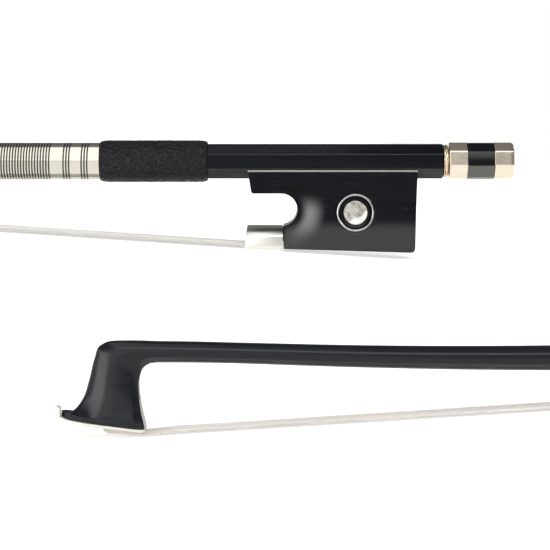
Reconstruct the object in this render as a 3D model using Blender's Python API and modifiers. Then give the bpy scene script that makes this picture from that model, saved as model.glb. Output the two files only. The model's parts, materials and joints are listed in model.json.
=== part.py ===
"""A full-size violin bow, built from the pieces that a bow maker would put together.

Four frames are used. The bow frame has the hair level along X, with the head at -X, the button
at +X and the stick above the hair. The handle frame has its origin on the handle's axis at the
rear end of the stick, with X along that axis. The head frame has its origin on the hair, just
behind the head, with X along the front end of the stick. The slide frame lies on the frog's
underside. Places along the handle are given as distances from the rear end, so they count
towards -X.
"""

import math

import bmesh
import bpy
import numpy as np
from mathutils import Matrix, Vector

MM = 0.001

# Clearances
SEAT_GAP = 0.15 * MM
RUNNING_GAP = 0.3 * MM

# Stick and camber
STICK_LENGTH = 728.0 * MM
HANDLE_TILT = math.radians(3.83)
HEAD_TILT = math.radians(3.64)
HANDLE_ACROSS_FLATS = 9.1 * MM
HANDLE_LENGTH = 165.0 * MM
OCTAGON_END = 61.5 * MM
ROUND_START = 73.0 * MM
LAPPED_RADIUS = 4.2 * MM
END_CHAMFER = 0.4 * MM
CAMBER_LOW_START = 335.0 * MM
CAMBER_LOW_END = 456.0 * MM
CAMBER_LOW_HEIGHT = 8.9 * MM
HEAD_BEND_FROM_HEAD = 52.0 * MM
HEAD_BEND_HEIGHT = 17.0 * MM
HEAD_BEND_SLOPE = 0.087
NECK_LENGTH = 2.0 * MM
STICK_TAPER = (
    (165.0 * MM, 4.15 * MM),
    (300.0 * MM, 4.05 * MM),
    (430.0 * MM, 3.85 * MM),
    (540.0 * MM, 3.6 * MM),
    (596.0 * MM, 3.38 * MM),
    (640.0 * MM, 3.05 * MM),
    (680.0 * MM, 2.82 * MM),
    (705.0 * MM, 2.92 * MM),
)
STICK_RING_STEP = 22.0 * MM
SLOPE_SAMPLE = 0.5 * MM

# Head, as sections in the head frame, in millimetres: the front point, the back point, the half
# width, and how far the section has turned from the round stick into the head's own form.
# The last section lies below the underside, which a cutter then shapes.
HEAD_SECTIONS = (
    (-2.7, 24.45, 0.3, 18.3, 2.85, 0.0),
    (-7.6, 24.45, -1.0, 17.6, 2.9, 0.1),
    (-10.75, 24.25, -1.9, 16.7, 2.95, 0.2),
    (-12.75, 23.4, -2.3, 15.7, 3.0, 0.35),
    (-13.95, 22.3, -2.6, 14.5, 3.1, 0.5),
    (-14.55, 20.4, -2.8, 13.1, 3.3, 0.65),
    (-15.25, 18.1, -2.8, 11.5, 3.5, 0.8),
    (-15.85, 15.5, -2.65, 9.6, 3.8, 0.9),
    (-16.65, 12.5, -2.4, 7.6, 4.15, 1.0),
    (-17.55, 9.7, -2.1, 5.7, 4.5, 1.0),
    (-18.65, 7.7, -1.75, 4.1, 4.8, 1.0),
    (-20.0, 6.05, -1.45, 2.9, 5.0, 1.0),
    (-21.6, 5.05, -1.25, 2.0, 5.05, 1.0),
    (-22.9, 5.05, -1.15, 1.5, 5.1, 1.0),
    (-23.7, 5.6, -1.15, 0.9, 5.1, 1.0),
    (-23.8, 1.3, -1.05, -0.8, 5.1, 1.0),
)
HEAD_RIDGE_SHARE = 0.3
HEAD_RIDGE_POWER = 0.6
HEAD_BACK_SHARE = 0.9
HEAD_BACK_FLAT = 0.7
UNDERSIDE_BACK = Vector((-1.15 * MM, 1.0 * MM))
UNDERSIDE_FRONT = Vector((-21.9 * MM, 3.55 * MM))
NOSE_UNDERSIDE = Vector((-24.4 * MM, 4.3 * MM))

# Tip plate. Its plan is given as distances behind the nose and half widths.
PLATE_THICKNESS = 0.8 * MM
PLATE_NOSE_FRONT = -25.1 * MM
PLATE_NOSE_BACK = -24.0 * MM
PLATE_NOSE_TOP = 6.9 * MM
PLATE_NOSE_SLANT = 0.5 * MM
PLATE_NOSE_TOE = 0.1 * MM
PLATE_NOSE_HALF_WIDTH = 1.3 * MM
PLATE_PLAN = (
    (0.6 * MM, 1.6 * MM),
    (2.2 * MM, 2.7 * MM),
    (4.4 * MM, 4.0 * MM),
    (6.8 * MM, 4.85 * MM),
    (8.6 * MM, 5.1 * MM),
)
PLATE_HEEL_CUT = 2.0 * MM
PLATE_HEEL_HALF_WIDTH = 4.1 * MM

# Head mortise, its wedge and knot
HEAD_MORTISE_FRONT = -12.3 * MM
HEAD_MORTISE_BACK = -4.5 * MM
HEAD_MORTISE_HALF_WIDTH = 3.9 * MM
HEAD_MORTISE_TOP = 8.0 * MM
HEAD_KNOT_RADIUS = 1.2 * MM

# Hair
HAIR_BELOW_AXIS = 21.9 * MM
HAIR_THICKNESS = 0.7 * MM
HAIR_WIDTH_AT_HEAD = 7.4 * MM
HAIR_WIDTH_AT_FERRULE = 10.4 * MM
HAIR_EDGE = 0.2 * MM
HAIR_RISE_LENGTH = 8.0 * MM
HAIR_LEVEL_RINGS = 5

# Lapping and thumb leather. The thread shows in bands, each with its own number of loops.
LAPPING_START = 74.0 * MM
LAPPING_END = 160.0 * MM
LAPPING_WALL = 0.25 * MM
LAPPING_END_ROUND = 0.08 * MM
THREAD_DIAMETER = 0.32 * MM
THREAD_PITCH = 0.735 * MM
THREAD_BAND_STARTS = (93.7 * MM, 98.45 * MM, 103.7 * MM)
THREAD_BAND_LOOPS = (3, 3, 18)
THREAD_POINTS_PER_LOOP = 24
THREAD_STEP_START = 0.25
THREAD_STEP_END = 0.75
LEATHER_START = 62.1 * MM
LEATHER_END = 90.6 * MM
LEATHER_RADIUS = 5.57 * MM
LEATHER_END_ROUND = 0.45 * MM

# Frog
FROG_HEEL_TOP = 6.85 * MM
FROG_HEEL_BOTTOM = 7.5 * MM
FROG_TOP = -2.3 * MM
FROG_FRONT_TOP = 51.5 * MM
FROG_FRONT_BOTTOM = 50.6 * MM
FROG_FRONT_CORNER = 0.4 * MM
THUMB_UNDERSIDE = -8.4 * MM
THROAT_BOTTOM = -16.95 * MM
THROAT_REAR = 38.4 * MM
THROAT_END_DEGREES = -80
FROG_BOTTOM_FRONT = -22.9 * MM
FROG_BOTTOM_REAR = -23.9 * MM
FROG_CORNER = 1.1 * MM
FROG_CHEEK = (
    (5.35 * MM, -2.3 * MM),
    (5.3 * MM, -5.0 * MM),
    (5.05 * MM, -8.0 * MM),
    (5.0 * MM, -11.0 * MM),
    (5.35 * MM, -14.0 * MM),
    (5.95 * MM, -17.0 * MM),
    (6.45 * MM, -19.5 * MM),
    (6.7 * MM, -21.8 * MM),
    (6.6 * MM, -24.6 * MM),
)
UNDERSLIDE_THICKNESS = 0.4 * MM

# Ferrule and tongue
FERRULE_REAR = 42.15 * MM
FERRULE_FRONT_TOP = 51.65 * MM
FERRULE_FRONT_BOTTOM = 52.4 * MM
FERRULE_TOP = -16.9 * MM
FERRULE_BOTTOM = -22.95 * MM
FERRULE_HALF_WIDTH = 6.5 * MM
FERRULE_SIDE_TOP = -20.2 * MM
FERRULE_SIDE_LEAN = 0.2 * MM
FERRULE_CORNER = 0.9 * MM
FERRULE_WALL = 0.45 * MM
TONGUE_FRONT = 51.0 * MM
TONGUE_UNDERSIDE = -19.6 * MM

# Frog mortise, plug and knot
FROG_MORTISE_REAR = 30.7 * MM
FROG_MORTISE_FRONT = 38.05 * MM
FROG_MORTISE_HALF_WIDTH = 4.4 * MM
FROG_MORTISE_TOP = -16.4 * MM
FROG_KNOT_RADIUS = 1.3 * MM
FROG_PLUG_TOP = -19.4 * MM

# Slide
SLIDE_REAR = 10.5 * MM
SLIDE_HALF_WIDTH = 4.3 * MM
SLIDE_BASE_HALF_WIDTH = 5.0 * MM
PEARL_SLIDE_THICKNESS = 0.85 * MM
SLIDE_BASE_THICKNESS = 0.65 * MM

# Eyes
EYE_ALONG = 23.15 * MM
EYE_HEIGHT = -13.4 * MM
EYE_PEARL_RADIUS = 3.12 * MM
EYE_RING_RADIUS = 4.97 * MM
EYE_RING_WIDTH = 0.75 * MM
EYE_RING_FLOOR = 4.3 * MM
EYE_PEARL_FLOOR = 4.0 * MM
EYE_REACH = 8.0 * MM

# Screw and eyelet
SCREW_RADIUS = 1.5 * MM
SCREW_TIP_RADIUS = 1.05 * MM
SCREW_SHANK_END = 46.0 * MM
SCREW_END = 60.0 * MM
SCREW_TAPER = 0.5 * MM
EYELET_ALONG = 27.0 * MM
EYELET_LENGTH = 5.5 * MM
EYELET_WIDTH = 4.2 * MM
EYELET_SHANK_RADIUS = 1.5 * MM
EYELET_SHANK_DEPTH = 5.0 * MM
FROG_TRAVEL_BACK = 3.5 * MM
FROG_TRAVEL_FORWARD = 4.2 * MM

# Button
BUTTON_ACROSS_FLATS = 9.4 * MM
BUTTON_TURN = math.radians(-10.0)
COLLAR_RADIUS = 4.35 * MM
COLLAR_LENGTH = 1.4 * MM
COLLAR_EDGE = 0.25 * MM
BUTTON_START = 1.55 * MM
BUTTON_FRONT_RING_END = 6.35 * MM
BUTTON_REAR_RING_START = 13.5 * MM
BUTTON_LENGTH = 18.8 * MM
BUTTON_TENON_RADIUS = 3.0 * MM
BUTTON_CAP_WALL = 0.8 * MM
BUTTON_CAP_CHAMFER = 0.5 * MM
SCREW_IN_BUTTON = 15.0 * MM

# How far cutters reach past a face, and past the whole piece
OVERCUT = 2.0 * MM
LOOSE = 30.0 * MM

# Facets
ROUND_STEPS = 24
RING_POINTS = 16
TIE_STEPS = 16
ARCH_STEPS = 8
CORNER_STEPS = 4
THROAT_STEPS = 12
LEAST_CORNER = 0.2 * MM
MITRE_LIMIT = 0.5
MERGE_DISTANCE = 1e-7
SMOOTH_ANGLE = math.radians(32)

# Where the middle of a rounded corner lies, as a share of its radius
CORNER_SHARE = 1 - math.sqrt(0.5)

UNDERSLIDE_INNER = HANDLE_ACROSS_FLATS / 2 + SEAT_GAP
CHANNEL = UNDERSLIDE_INNER + UNDERSLIDE_THICKNESS + SEAT_GAP


def clear_scene():
    for obj in list(bpy.data.objects):
        bpy.data.objects.remove(obj, do_unlink=True)


def new_collection(name):
    collection = bpy.data.collections.new(name)
    bpy.context.scene.collection.children.link(collection)
    return collection


clear_scene()
PARTS = new_collection("violin_bow")
CUTTERS = new_collection("cutters")


def new_material(name, color, roughness, metallic=0.0):
    material = bpy.data.materials.new(name)
    material.use_nodes = True
    shader = material.node_tree.nodes["Principled BSDF"]
    shader.inputs["Base Color"].default_value = (*color, 1.0)
    shader.inputs["Roughness"].default_value = roughness
    shader.inputs["Metallic"].default_value = metallic
    return material


STICK_BLACK = new_material("stick_black", (0.012, 0.012, 0.014), 0.35)
EBONY = new_material("ebony", (0.010, 0.009, 0.011), 0.45)
IVORY_WHITE = new_material("ivory_white", (0.86, 0.83, 0.74), 0.4)
HORSEHAIR = new_material("horsehair", (0.80, 0.74, 0.64), 0.55)
SILVER = new_material("silver", (0.78, 0.74, 0.68), 0.25, 1.0)
THREAD_BLACK = new_material("thread_black", (0.01, 0.01, 0.012), 0.7)
LEATHER = new_material("leather", (0.015, 0.014, 0.014), 0.6)
NICKEL_SILVER = new_material("nickel_silver", (0.80, 0.76, 0.68), 0.22, 1.0)
PEARL = new_material("pearl", (0.62, 0.60, 0.52), 0.25)
BRASS = new_material("brass", (0.70, 0.52, 0.25), 0.3, 1.0)
STEEL = new_material("steel", (0.55, 0.55, 0.56), 0.3, 1.0)
MAPLE = new_material("maple", (0.62, 0.45, 0.27), 0.6)


def new_frame(name, parent=None, location=(0, 0, 0), tilt=0.0):
    frame = bpy.data.objects.new(name, None)
    PARTS.objects.link(frame)
    frame.parent = parent
    frame.location = location
    frame.rotation_euler = (0.0, tilt, 0.0)
    return frame


def add_piece(name, mesh, frame, material):
    """A named solid in the given frame."""
    piece = bpy.data.objects.new(name, mesh)
    PARTS.objects.link(piece)
    piece.parent = frame
    mesh.name = name
    mesh.materials.clear()
    mesh.materials.append(material)
    mesh.shade_smooth()
    mesh.set_sharp_from_angle(angle=SMOOTH_ANGLE)
    return piece


def add_cutter(name, mesh, frame):
    """A hidden helper solid for a Boolean."""
    cutter = bpy.data.objects.new(name, mesh)
    CUTTERS.objects.link(cutter)
    cutter.parent = frame
    cutter.hide_render = True
    cutter.display_type = "WIRE"
    return cutter


def combine(piece, helper, operation="DIFFERENCE"):
    modifier = piece.modifiers.new(helper.name, "BOOLEAN")
    modifier.operation = operation
    modifier.solver = "EXACT"
    modifier.object = helper


def mesh_from(bm):
    bmesh.ops.recalc_face_normals(bm, faces=bm.faces)
    mesh = bpy.data.meshes.new("solid")
    bm.to_mesh(mesh)
    bm.free()
    return mesh


def box_mesh(low, high):
    bm = bmesh.new()
    bmesh.ops.create_cube(bm, size=1.0)
    size = [h - l for l, h in zip(low, high)]
    middle = [(h + l) / 2 for l, h in zip(low, high)]
    bmesh.ops.scale(bm, vec=size, verts=bm.verts)
    bmesh.ops.translate(bm, vec=middle, verts=bm.verts)
    return mesh_from(bm)


def rod_mesh(radius, start, end, sides=ROUND_STEPS, turn=0.0):
    """A straight rod or prism along X, from start to end."""
    bm = bmesh.new()
    bmesh.ops.create_cone(
        bm, cap_ends=True, segments=sides, radius1=radius, radius2=radius, depth=end - start
    )
    bmesh.ops.rotate(bm, matrix=Matrix.Rotation(turn, 3, "Z"), verts=bm.verts)
    bmesh.ops.rotate(bm, matrix=Matrix.Rotation(math.pi / 2, 3, "Y"), verts=bm.verts)
    bmesh.ops.translate(bm, vec=((start + end) / 2, 0, 0), verts=bm.verts)
    return mesh_from(bm)


def octagon_mesh(across_flats, start, end, turn=0.0):
    corner = across_flats / 2 / math.cos(math.pi / 8)
    return rod_mesh(corner, start, end, sides=8, turn=math.pi / 8 + turn)


def moved(mesh, offset=(0, 0, 0), rotation=None):
    if rotation is not None:
        mesh.transform(rotation)
    mesh.transform(Matrix.Translation(offset))
    return mesh


def profile_mesh(profile):
    """The line of (along, radius) points that a turned shape is turned from.

    It starts and ends on the axis, or it is closed.
    """
    edges = [(i, i + 1) for i in range(len(profile) - 1)]
    if profile[0][1] > 0.0:
        edges.append((len(profile) - 1, 0))
    mesh = bpy.data.meshes.new("profile")
    mesh.from_pydata([(along, 0.0, radius) for along, radius in profile], edges, [])
    return mesh


def turn_about_x(piece):
    modifier = piece.modifiers.new("turned", "SCREW")
    modifier.axis = "X"
    modifier.steps = ROUND_STEPS
    modifier.render_steps = ROUND_STEPS
    modifier.use_merge_vertices = True
    modifier.merge_threshold = MERGE_DISTANCE
    return piece


def slab_mesh(outline, half_width, plane="XZ"):
    """A flat outline made into a slab: a filled 2D curve, extruded, then made a mesh."""
    curve = bpy.data.curves.new("outline", "CURVE")
    curve.dimensions = "2D"
    curve.fill_mode = "BOTH"
    curve.extrude = half_width
    spline = curve.splines.new("POLY")
    spline.points.add(len(outline) - 1)
    for point, (across, up) in zip(spline.points, outline):
        point.co = (across, up, 0.0, 1.0)
    spline.use_cyclic_u = True
    holder = bpy.data.objects.new("outline", curve)
    bpy.context.scene.collection.objects.link(holder)
    graph = bpy.context.evaluated_depsgraph_get()
    mesh = bpy.data.meshes.new_from_object(holder.evaluated_get(graph))
    bpy.data.objects.remove(holder)
    if plane == "XZ":
        turn = Matrix.Rotation(math.pi / 2, 4, "X")
    elif plane == "YZ":
        turn = Matrix(((0, 0, 1, 0), (1, 0, 0, 0), (0, 1, 0, 0), (0, 0, 0, 1)))
    else:
        turn = Matrix.Identity(4)
    mesh.transform(turn)
    bm = bmesh.new()
    bm.from_mesh(mesh)
    bmesh.ops.remove_doubles(bm, verts=bm.verts, dist=MERGE_DISTANCE)
    bpy.data.meshes.remove(mesh)
    return mesh_from(bm)


def run_mesh(section, start, end):
    """A section in the handle frame's YZ plane, drawn out along X from start to end."""
    slab = slab_mesh(section, (end - start) / 2, plane="YZ")
    return moved(slab, ((start + end) / 2, 0, 0))


def loft_mesh(rings):
    """A closed solid through rings of points, each ring with the same number of points."""
    bm = bmesh.new()
    loops = [[bm.verts.new(point) for point in ring] for ring in rings]
    for near, far in zip(loops, loops[1:]):
        for i in range(len(near)):
            j = (i + 1) % len(near)
            bm.faces.new((near[i], near[j], far[j], far[i]))
    bm.faces.new(loops[0])
    bm.faces.new(loops[-1])
    return mesh_from(bm)


def arc(centre, radius, start_degrees, end_degrees, steps):
    angles = np.radians(np.linspace(start_degrees, end_degrees, steps + 1))
    return [(centre[0] + radius * math.cos(a), centre[1] + radius * math.sin(a)) for a in angles]


def mirrored(half):
    """A line from its right half, which it runs down, and then up again on the left."""
    return list(half) + [(-y, z) for y, z in reversed(half)]


def strip_outline(path, thickness):
    """The outline of a band of even thickness along an open path of 2D points."""
    points = [Vector(point) for point in path]
    left, right = [], []
    for i, point in enumerate(points):
        before = points[max(i - 1, 0)]
        after = points[min(i + 1, len(points) - 1)]
        first = (point - before).normalized() if i else (after - point).normalized()
        second = (after - point).normalized() if i < len(points) - 1 else first
        normal = Vector((-first.y - second.y, first.x + second.x)).normalized()
        reach = thickness / 2 / max(normal.dot(Vector((-first.y, first.x))), MITRE_LIMIT)
        left.append(tuple(point + normal * reach))
        right.append(tuple(point - normal * reach))
    return left + right[::-1]


def handle_point(along, height):
    """Bow-frame X and Z of a point in the handle's middle plane, measured from the stick's end."""
    return (
        -along * math.cos(HANDLE_TILT) - height * math.sin(HANDLE_TILT),
        -along * math.sin(HANDLE_TILT) + height * math.cos(HANDLE_TILT),
    )


def head_offset(back, height):
    """Bow-frame X and Z of a head-frame point, counted from the head frame's origin."""
    return (
        back * math.cos(HEAD_TILT) + height * math.sin(HEAD_TILT),
        -back * math.sin(HEAD_TILT) + height * math.cos(HEAD_TILT),
    )


def slide_slope():
    return math.atan2(FROG_BOTTOM_FRONT - FROG_BOTTOM_REAR, FERRULE_REAR - FROG_HEEL_BOTTOM)


HAIR_LEVEL = handle_point(FERRULE_FRONT_BOTTOM, -HAIR_BELOW_AXIS)[1]
HEAD_PLACE = -STICK_LENGTH - head_offset(PLATE_NOSE_FRONT, PLATE_NOSE_TOP)[0]

bow_frame = new_frame("bow_frame")
handle_frame = new_frame("handle_frame", bow_frame, tilt=-HANDLE_TILT)
head_frame = new_frame("head_frame", bow_frame, (HEAD_PLACE, 0, HAIR_LEVEL), tilt=HEAD_TILT)
slide_frame = new_frame(
    "slide_frame", handle_frame, (-FERRULE_REAR, 0, FROG_BOTTOM_FRONT), tilt=slide_slope()
)


# Stick and head


def hermite(x, x0, y0, slope0, x1, y1, slope1):
    span = x1 - x0
    t = (x - x0) / span
    return (
        (2 * t**3 - 3 * t**2 + 1) * y0
        + (t**3 - 2 * t**2 + t) * span * slope0
        + (3 * t**2 - 2 * t**3) * y1
        + (t**3 - t**2) * span * slope1
    )


def neck_centre():
    """Head-frame place of the stick's axis where it meets the first head section."""
    front_x, front_z, back_x, back_z = (value * MM for value in HEAD_SECTIONS[0][:4])
    return (max(front_x, back_x) + NECK_LENGTH, (front_z + back_z) / 2)


def axis_height(x):
    """Height of the stick's axis in the bow frame at a given X."""
    handle_x, handle_z = handle_point(HANDLE_LENGTH, 0.0)
    low = HAIR_LEVEL + CAMBER_LOW_HEIGHT
    bend_x = HEAD_PLACE + HEAD_BEND_FROM_HEAD
    bend_z = HAIR_LEVEL + HEAD_BEND_HEIGHT
    neck_x, neck_z = head_offset(*neck_centre())
    knots = (
        (0.0, 0.0, math.tan(HANDLE_TILT)),
        (handle_x, handle_z, math.tan(HANDLE_TILT)),
        (-CAMBER_LOW_START, low, 0.0),
        (-CAMBER_LOW_END, low, 0.0),
        (bend_x, bend_z, -HEAD_BEND_SLOPE),
        (HEAD_PLACE + neck_x, HAIR_LEVEL + neck_z, -math.tan(HEAD_TILT)),
    )
    for start, end in zip(knots, knots[1:]):
        if x >= end[0]:
            break
    return hermite(x, *end, *start)


def stick_radius(along):
    places = [ROUND_START] + [place for place, _ in STICK_TAPER]
    radii = [LAPPED_RADIUS] + [radius for _, radius in STICK_TAPER]
    return float(np.interp(along, places, radii))


def round_share(along):
    """0 where the handle is octagonal, 1 where the stick is round."""
    return min(max((along - OCTAGON_END) / (ROUND_START - OCTAGON_END), 0.0), 1.0)


def stick_ring(x, shrink=0.0):
    """One ring of points square to the stick's axis."""
    rise = axis_height(x + SLOPE_SAMPLE) - axis_height(x - SLOPE_SAMPLE)
    up = Vector((-rise / (2 * SLOPE_SAMPLE), 0, 1)).normalized()
    side = Vector((0, 1, 0))
    centre = Vector((x, 0, axis_height(x)))
    along = -x / math.cos(HANDLE_TILT)
    share = round_share(along)
    flat = HANDLE_ACROSS_FLATS / 2
    ring = []
    for i in range(RING_POINTS):
        angle = 2 * math.pi * i / RING_POINTS
        from_flat = (angle + math.pi / 8) % (math.pi / 4) - math.pi / 8
        octagon = flat / math.cos(from_flat)
        radius = octagon * (1 - share) + stick_radius(along) * share - shrink
        ring.append(centre + up * (radius * math.cos(angle)) + side * (radius * math.sin(angle)))
    return ring


def head_half_width(share):
    """Half width of the head's form at a share of the way from the front ridge to the back."""
    if share < HEAD_RIDGE_SHARE:
        return (share / HEAD_RIDGE_SHARE) ** HEAD_RIDGE_POWER
    if share > HEAD_BACK_SHARE:
        return 1 - (1 - HEAD_BACK_FLAT) * (share - HEAD_BACK_SHARE) / (1 - HEAD_BACK_SHARE)
    return 1.0


def head_ring(front_x, front_z, back_x, back_z, half_width, head_share):
    """One ring through the head, from its front ridge round the far cheek to the back."""
    front = Vector((front_x, front_z)) * MM
    back = Vector((back_x, back_z)) * MM
    ring = []
    for i in range(RING_POINTS):
        angle = 2 * math.pi * i / RING_POINTS
        share = (1 - math.cos(angle)) / 2
        round_width = math.sin(angle)
        form_width = 0.0
        if i % (RING_POINTS // 2):
            form_width = math.copysign(head_half_width(share), round_width)
        width = half_width * MM * (round_width * (1 - head_share) + form_width * head_share)
        x, z = head_offset(*(front + (back - front) * share))
        ring.append(Vector((HEAD_PLACE + x, width, HAIR_LEVEL + z)))
    return ring


def stick_stations():
    """X places of the stick's rings, from the rear end to the neck."""
    handle = [END_CHAMFER, OCTAGON_END, ROUND_START, LAPPING_END, HANDLE_LENGTH]
    places = [-along * math.cos(HANDLE_TILT) for along in handle]
    neck = HEAD_PLACE + head_offset(*neck_centre())[0]
    count = math.ceil((places[-1] - neck) / STICK_RING_STEP)
    return places + list(np.linspace(places[-1], neck, count + 1))[1:]


def underside_outline():
    """Closed outline of the space below the head's underside."""
    flat = (UNDERSIDE_BACK - UNDERSIDE_FRONT).normalized()
    rear = UNDERSIDE_BACK + flat * OVERCUT
    nose = (NOSE_UNDERSIDE - UNDERSIDE_FRONT).normalized()
    front = NOSE_UNDERSIDE + nose * OVERCUT
    low = rear.y - LOOSE
    return [front.to_tuple(), UNDERSIDE_FRONT.to_tuple(), rear.to_tuple(), (rear.x, low), (front.x, low)]


def underside_height(back):
    """Height of the flat part of the head's underside at a place in the head frame."""
    rise = (UNDERSIDE_FRONT.y - UNDERSIDE_BACK.y) / (UNDERSIDE_FRONT.x - UNDERSIDE_BACK.x)
    return UNDERSIDE_BACK.y + rise * (back - UNDERSIDE_BACK.x)


def head_mortise_cutter():
    low = (HEAD_MORTISE_FRONT, -HEAD_MORTISE_HALF_WIDTH, -LOOSE)
    high = (HEAD_MORTISE_BACK, HEAD_MORTISE_HALF_WIDTH, HEAD_MORTISE_TOP)
    return add_cutter("head_mortise_cutter", box_mesh(low, high), head_frame)


def screw_bore_cutters():
    """The bore for the screw's shank, and the narrower one for its tip."""
    shank = rod_mesh(SCREW_RADIUS + RUNNING_GAP, -SCREW_SHANK_END - 2 * OVERCUT, OVERCUT)
    tip = rod_mesh(
        SCREW_TIP_RADIUS + RUNNING_GAP,
        -SCREW_END - FROG_TRAVEL_FORWARD,
        -SCREW_SHANK_END + OVERCUT,
    )
    return (
        add_cutter("screw_bore_cutter", shank, handle_frame),
        add_cutter("screw_pilot_cutter", tip, handle_frame),
    )


def eyelet_slot_cutter():
    half = EYELET_WIDTH / 2 + RUNNING_GAP
    front = -EYELET_ALONG - EYELET_LENGTH / 2 - FROG_TRAVEL_FORWARD - RUNNING_GAP
    rear = -EYELET_ALONG + EYELET_LENGTH / 2 + FROG_TRAVEL_BACK + RUNNING_GAP
    slot = box_mesh((front, -half, -LOOSE), (rear, half, half))
    return add_cutter("eyelet_slot_cutter", slot, handle_frame)


def build_stick(mortise):
    rings = [stick_ring(0.0, shrink=END_CHAMFER)]
    rings += [stick_ring(x) for x in stick_stations()]
    rings += [head_ring(*section) for section in HEAD_SECTIONS]
    stick = add_piece("stick", loft_mesh(rings), bow_frame, STICK_BLACK)
    below = slab_mesh(underside_outline(), LOOSE)
    combine(stick, add_cutter("underside_cutter", below, head_frame))
    combine(stick, mortise)
    for cutter in screw_bore_cutters():
        combine(stick, cutter)
    combine(stick, eyelet_slot_cutter())


def plate_side_outline():
    """Side view of the tip plate, with its raised nose."""
    top = [
        UNDERSIDE_BACK.to_tuple(),
        UNDERSIDE_FRONT.to_tuple(),
        (PLATE_NOSE_BACK, NOSE_UNDERSIDE.y - SEAT_GAP),
    ]
    top = [(x, z - SEAT_GAP) for x, z in top]
    bottom = [(x, z - PLATE_THICKNESS) for x, z in top]
    nose = [
        (PLATE_NOSE_BACK, PLATE_NOSE_TOP - PLATE_NOSE_SLANT),
        (PLATE_NOSE_FRONT, PLATE_NOSE_TOP),
        (PLATE_NOSE_FRONT, bottom[-1][1] + PLATE_NOSE_TOE),
    ]
    return top + nose + [bottom[1], bottom[0]]


def plate_plan_outline():
    """Plan view of the tip plate: narrow at the nose, widest under the cheeks."""
    half = [(PLATE_NOSE_FRONT - OVERCUT, PLATE_NOSE_HALF_WIDTH)]
    half += [(PLATE_NOSE_FRONT + behind, width) for behind, width in PLATE_PLAN]
    half.append((UNDERSIDE_BACK.x - PLATE_HEEL_CUT, PLATE_PLAN[-1][1]))
    half.append((UNDERSIDE_BACK.x + SEAT_GAP, PLATE_HEEL_HALF_WIDTH))
    return half + [(x, -y) for x, y in reversed(half)]


def build_tip_plate(mortise):
    side = slab_mesh(plate_side_outline(), LOOSE)
    plate = add_piece("tip_plate", side, head_frame, IVORY_WHITE)
    plan = slab_mesh(plate_plan_outline(), LOOSE, plane="XY")
    combine(plate, add_cutter("plate_plan_form", plan, head_frame), "INTERSECT")
    combine(plate, mortise)


def build_head_wedge():
    rear = HEAD_MORTISE_BACK - SEAT_GAP
    front = HEAD_MORTISE_FRONT + HAIR_THICKNESS + 2 * SEAT_GAP
    drop = SEAT_GAP + PLATE_THICKNESS
    top = HEAD_MORTISE_TOP - 2 * HEAD_KNOT_RADIUS - 2 * SEAT_GAP
    outline = [
        (front, underside_height(front) - drop),
        (rear, underside_height(rear) - drop),
        (rear, top),
        (front, top),
    ]
    slab = slab_mesh(outline, HEAD_MORTISE_HALF_WIDTH - SEAT_GAP)
    add_piece("head_wedge", slab, head_frame, MAPLE)


# Hair


def hair_top_under_plate(back):
    return underside_height(back) - PLATE_THICKNESS - 2 * SEAT_GAP


def knot_tie(name, radius, half_width, centre, frame):
    """The bound end of the hair: a short rod across the mortise."""
    tie = rod_mesh(radius, -half_width, half_width, sides=TIE_STEPS)
    moved(tie, centre, Matrix.Rotation(math.pi / 2, 4, "Z"))
    return add_cutter(name, tie, frame)


def build_hair_knot_head():
    """The hair turned up along the mortise's front wall and tied at its top."""
    wall = HEAD_MORTISE_FRONT + SEAT_GAP
    foot = hair_top_under_plate(HEAD_MORTISE_FRONT) + SEAT_GAP
    half_width = HAIR_WIDTH_AT_HEAD / 2 - SEAT_GAP
    level = HEAD_MORTISE_TOP - SEAT_GAP - HEAD_KNOT_RADIUS
    sheet = box_mesh((wall, -half_width, foot), (wall + HAIR_THICKNESS, half_width, level))
    knot = add_piece("hair_knot_head", sheet, head_frame, HORSEHAIR)
    centre = (wall + HEAD_KNOT_RADIUS, 0, level)
    tie = knot_tie("head_knot_tie", HEAD_KNOT_RADIUS, half_width, centre, head_frame)
    combine(knot, tie, "UNION")


def ribbon_ring(x, z, width, slope):
    """One flat ring with thinned edges, square to the hair's run."""
    up = Vector((-slope, 0, 1)).normalized()
    half = HAIR_THICKNESS / 2
    edge = HAIR_EDGE / 2
    right = [
        (width / 2 - half, half),
        (width / 2, edge),
        (width / 2, -edge),
        (width / 2 - half, -half),
    ]
    return [Vector((x, y, z)) + up * h for y, h in mirrored(right)]


def hair_stations():
    """X and Z of the ribbon's rings: along the tip plate, up to its own level, then to the ferrule."""
    half = HAIR_THICKNESS / 2
    edge = UNDERSIDE_BACK.x + SEAT_GAP
    stations = []
    for back in (HEAD_MORTISE_FRONT + SEAT_GAP, edge):
        x, z = head_offset(back, hair_top_under_plate(back) - half)
        stations.append((HEAD_PLACE + x, HAIR_LEVEL + z))
    level_start = HEAD_PLACE + edge + HAIR_RISE_LENGTH
    mouth = handle_point(TONGUE_FRONT + 2 * SEAT_GAP, -HAIR_BELOW_AXIS)[0]
    return stations + [(x, HAIR_LEVEL) for x in np.linspace(level_start, mouth, HAIR_LEVEL_RINGS)]


def build_hair_ribbon():
    stations = hair_stations()
    start, mouth = stations[0][0], stations[-1][0]
    rings = []
    for i, (x, z) in enumerate(stations):
        before = stations[max(i - 1, 0)]
        after = stations[min(i + 1, len(stations) - 1)]
        slope = (after[1] - before[1]) / (after[0] - before[0])
        share = (x - start) / (mouth - start)
        width = HAIR_WIDTH_AT_HEAD + (HAIR_WIDTH_AT_FERRULE - HAIR_WIDTH_AT_HEAD) * share
        rings.append(ribbon_ring(x, z, width, slope))
    add_piece("hair_ribbon", loft_mesh(rings), bow_frame, HORSEHAIR)


# Lapping and leather


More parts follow.
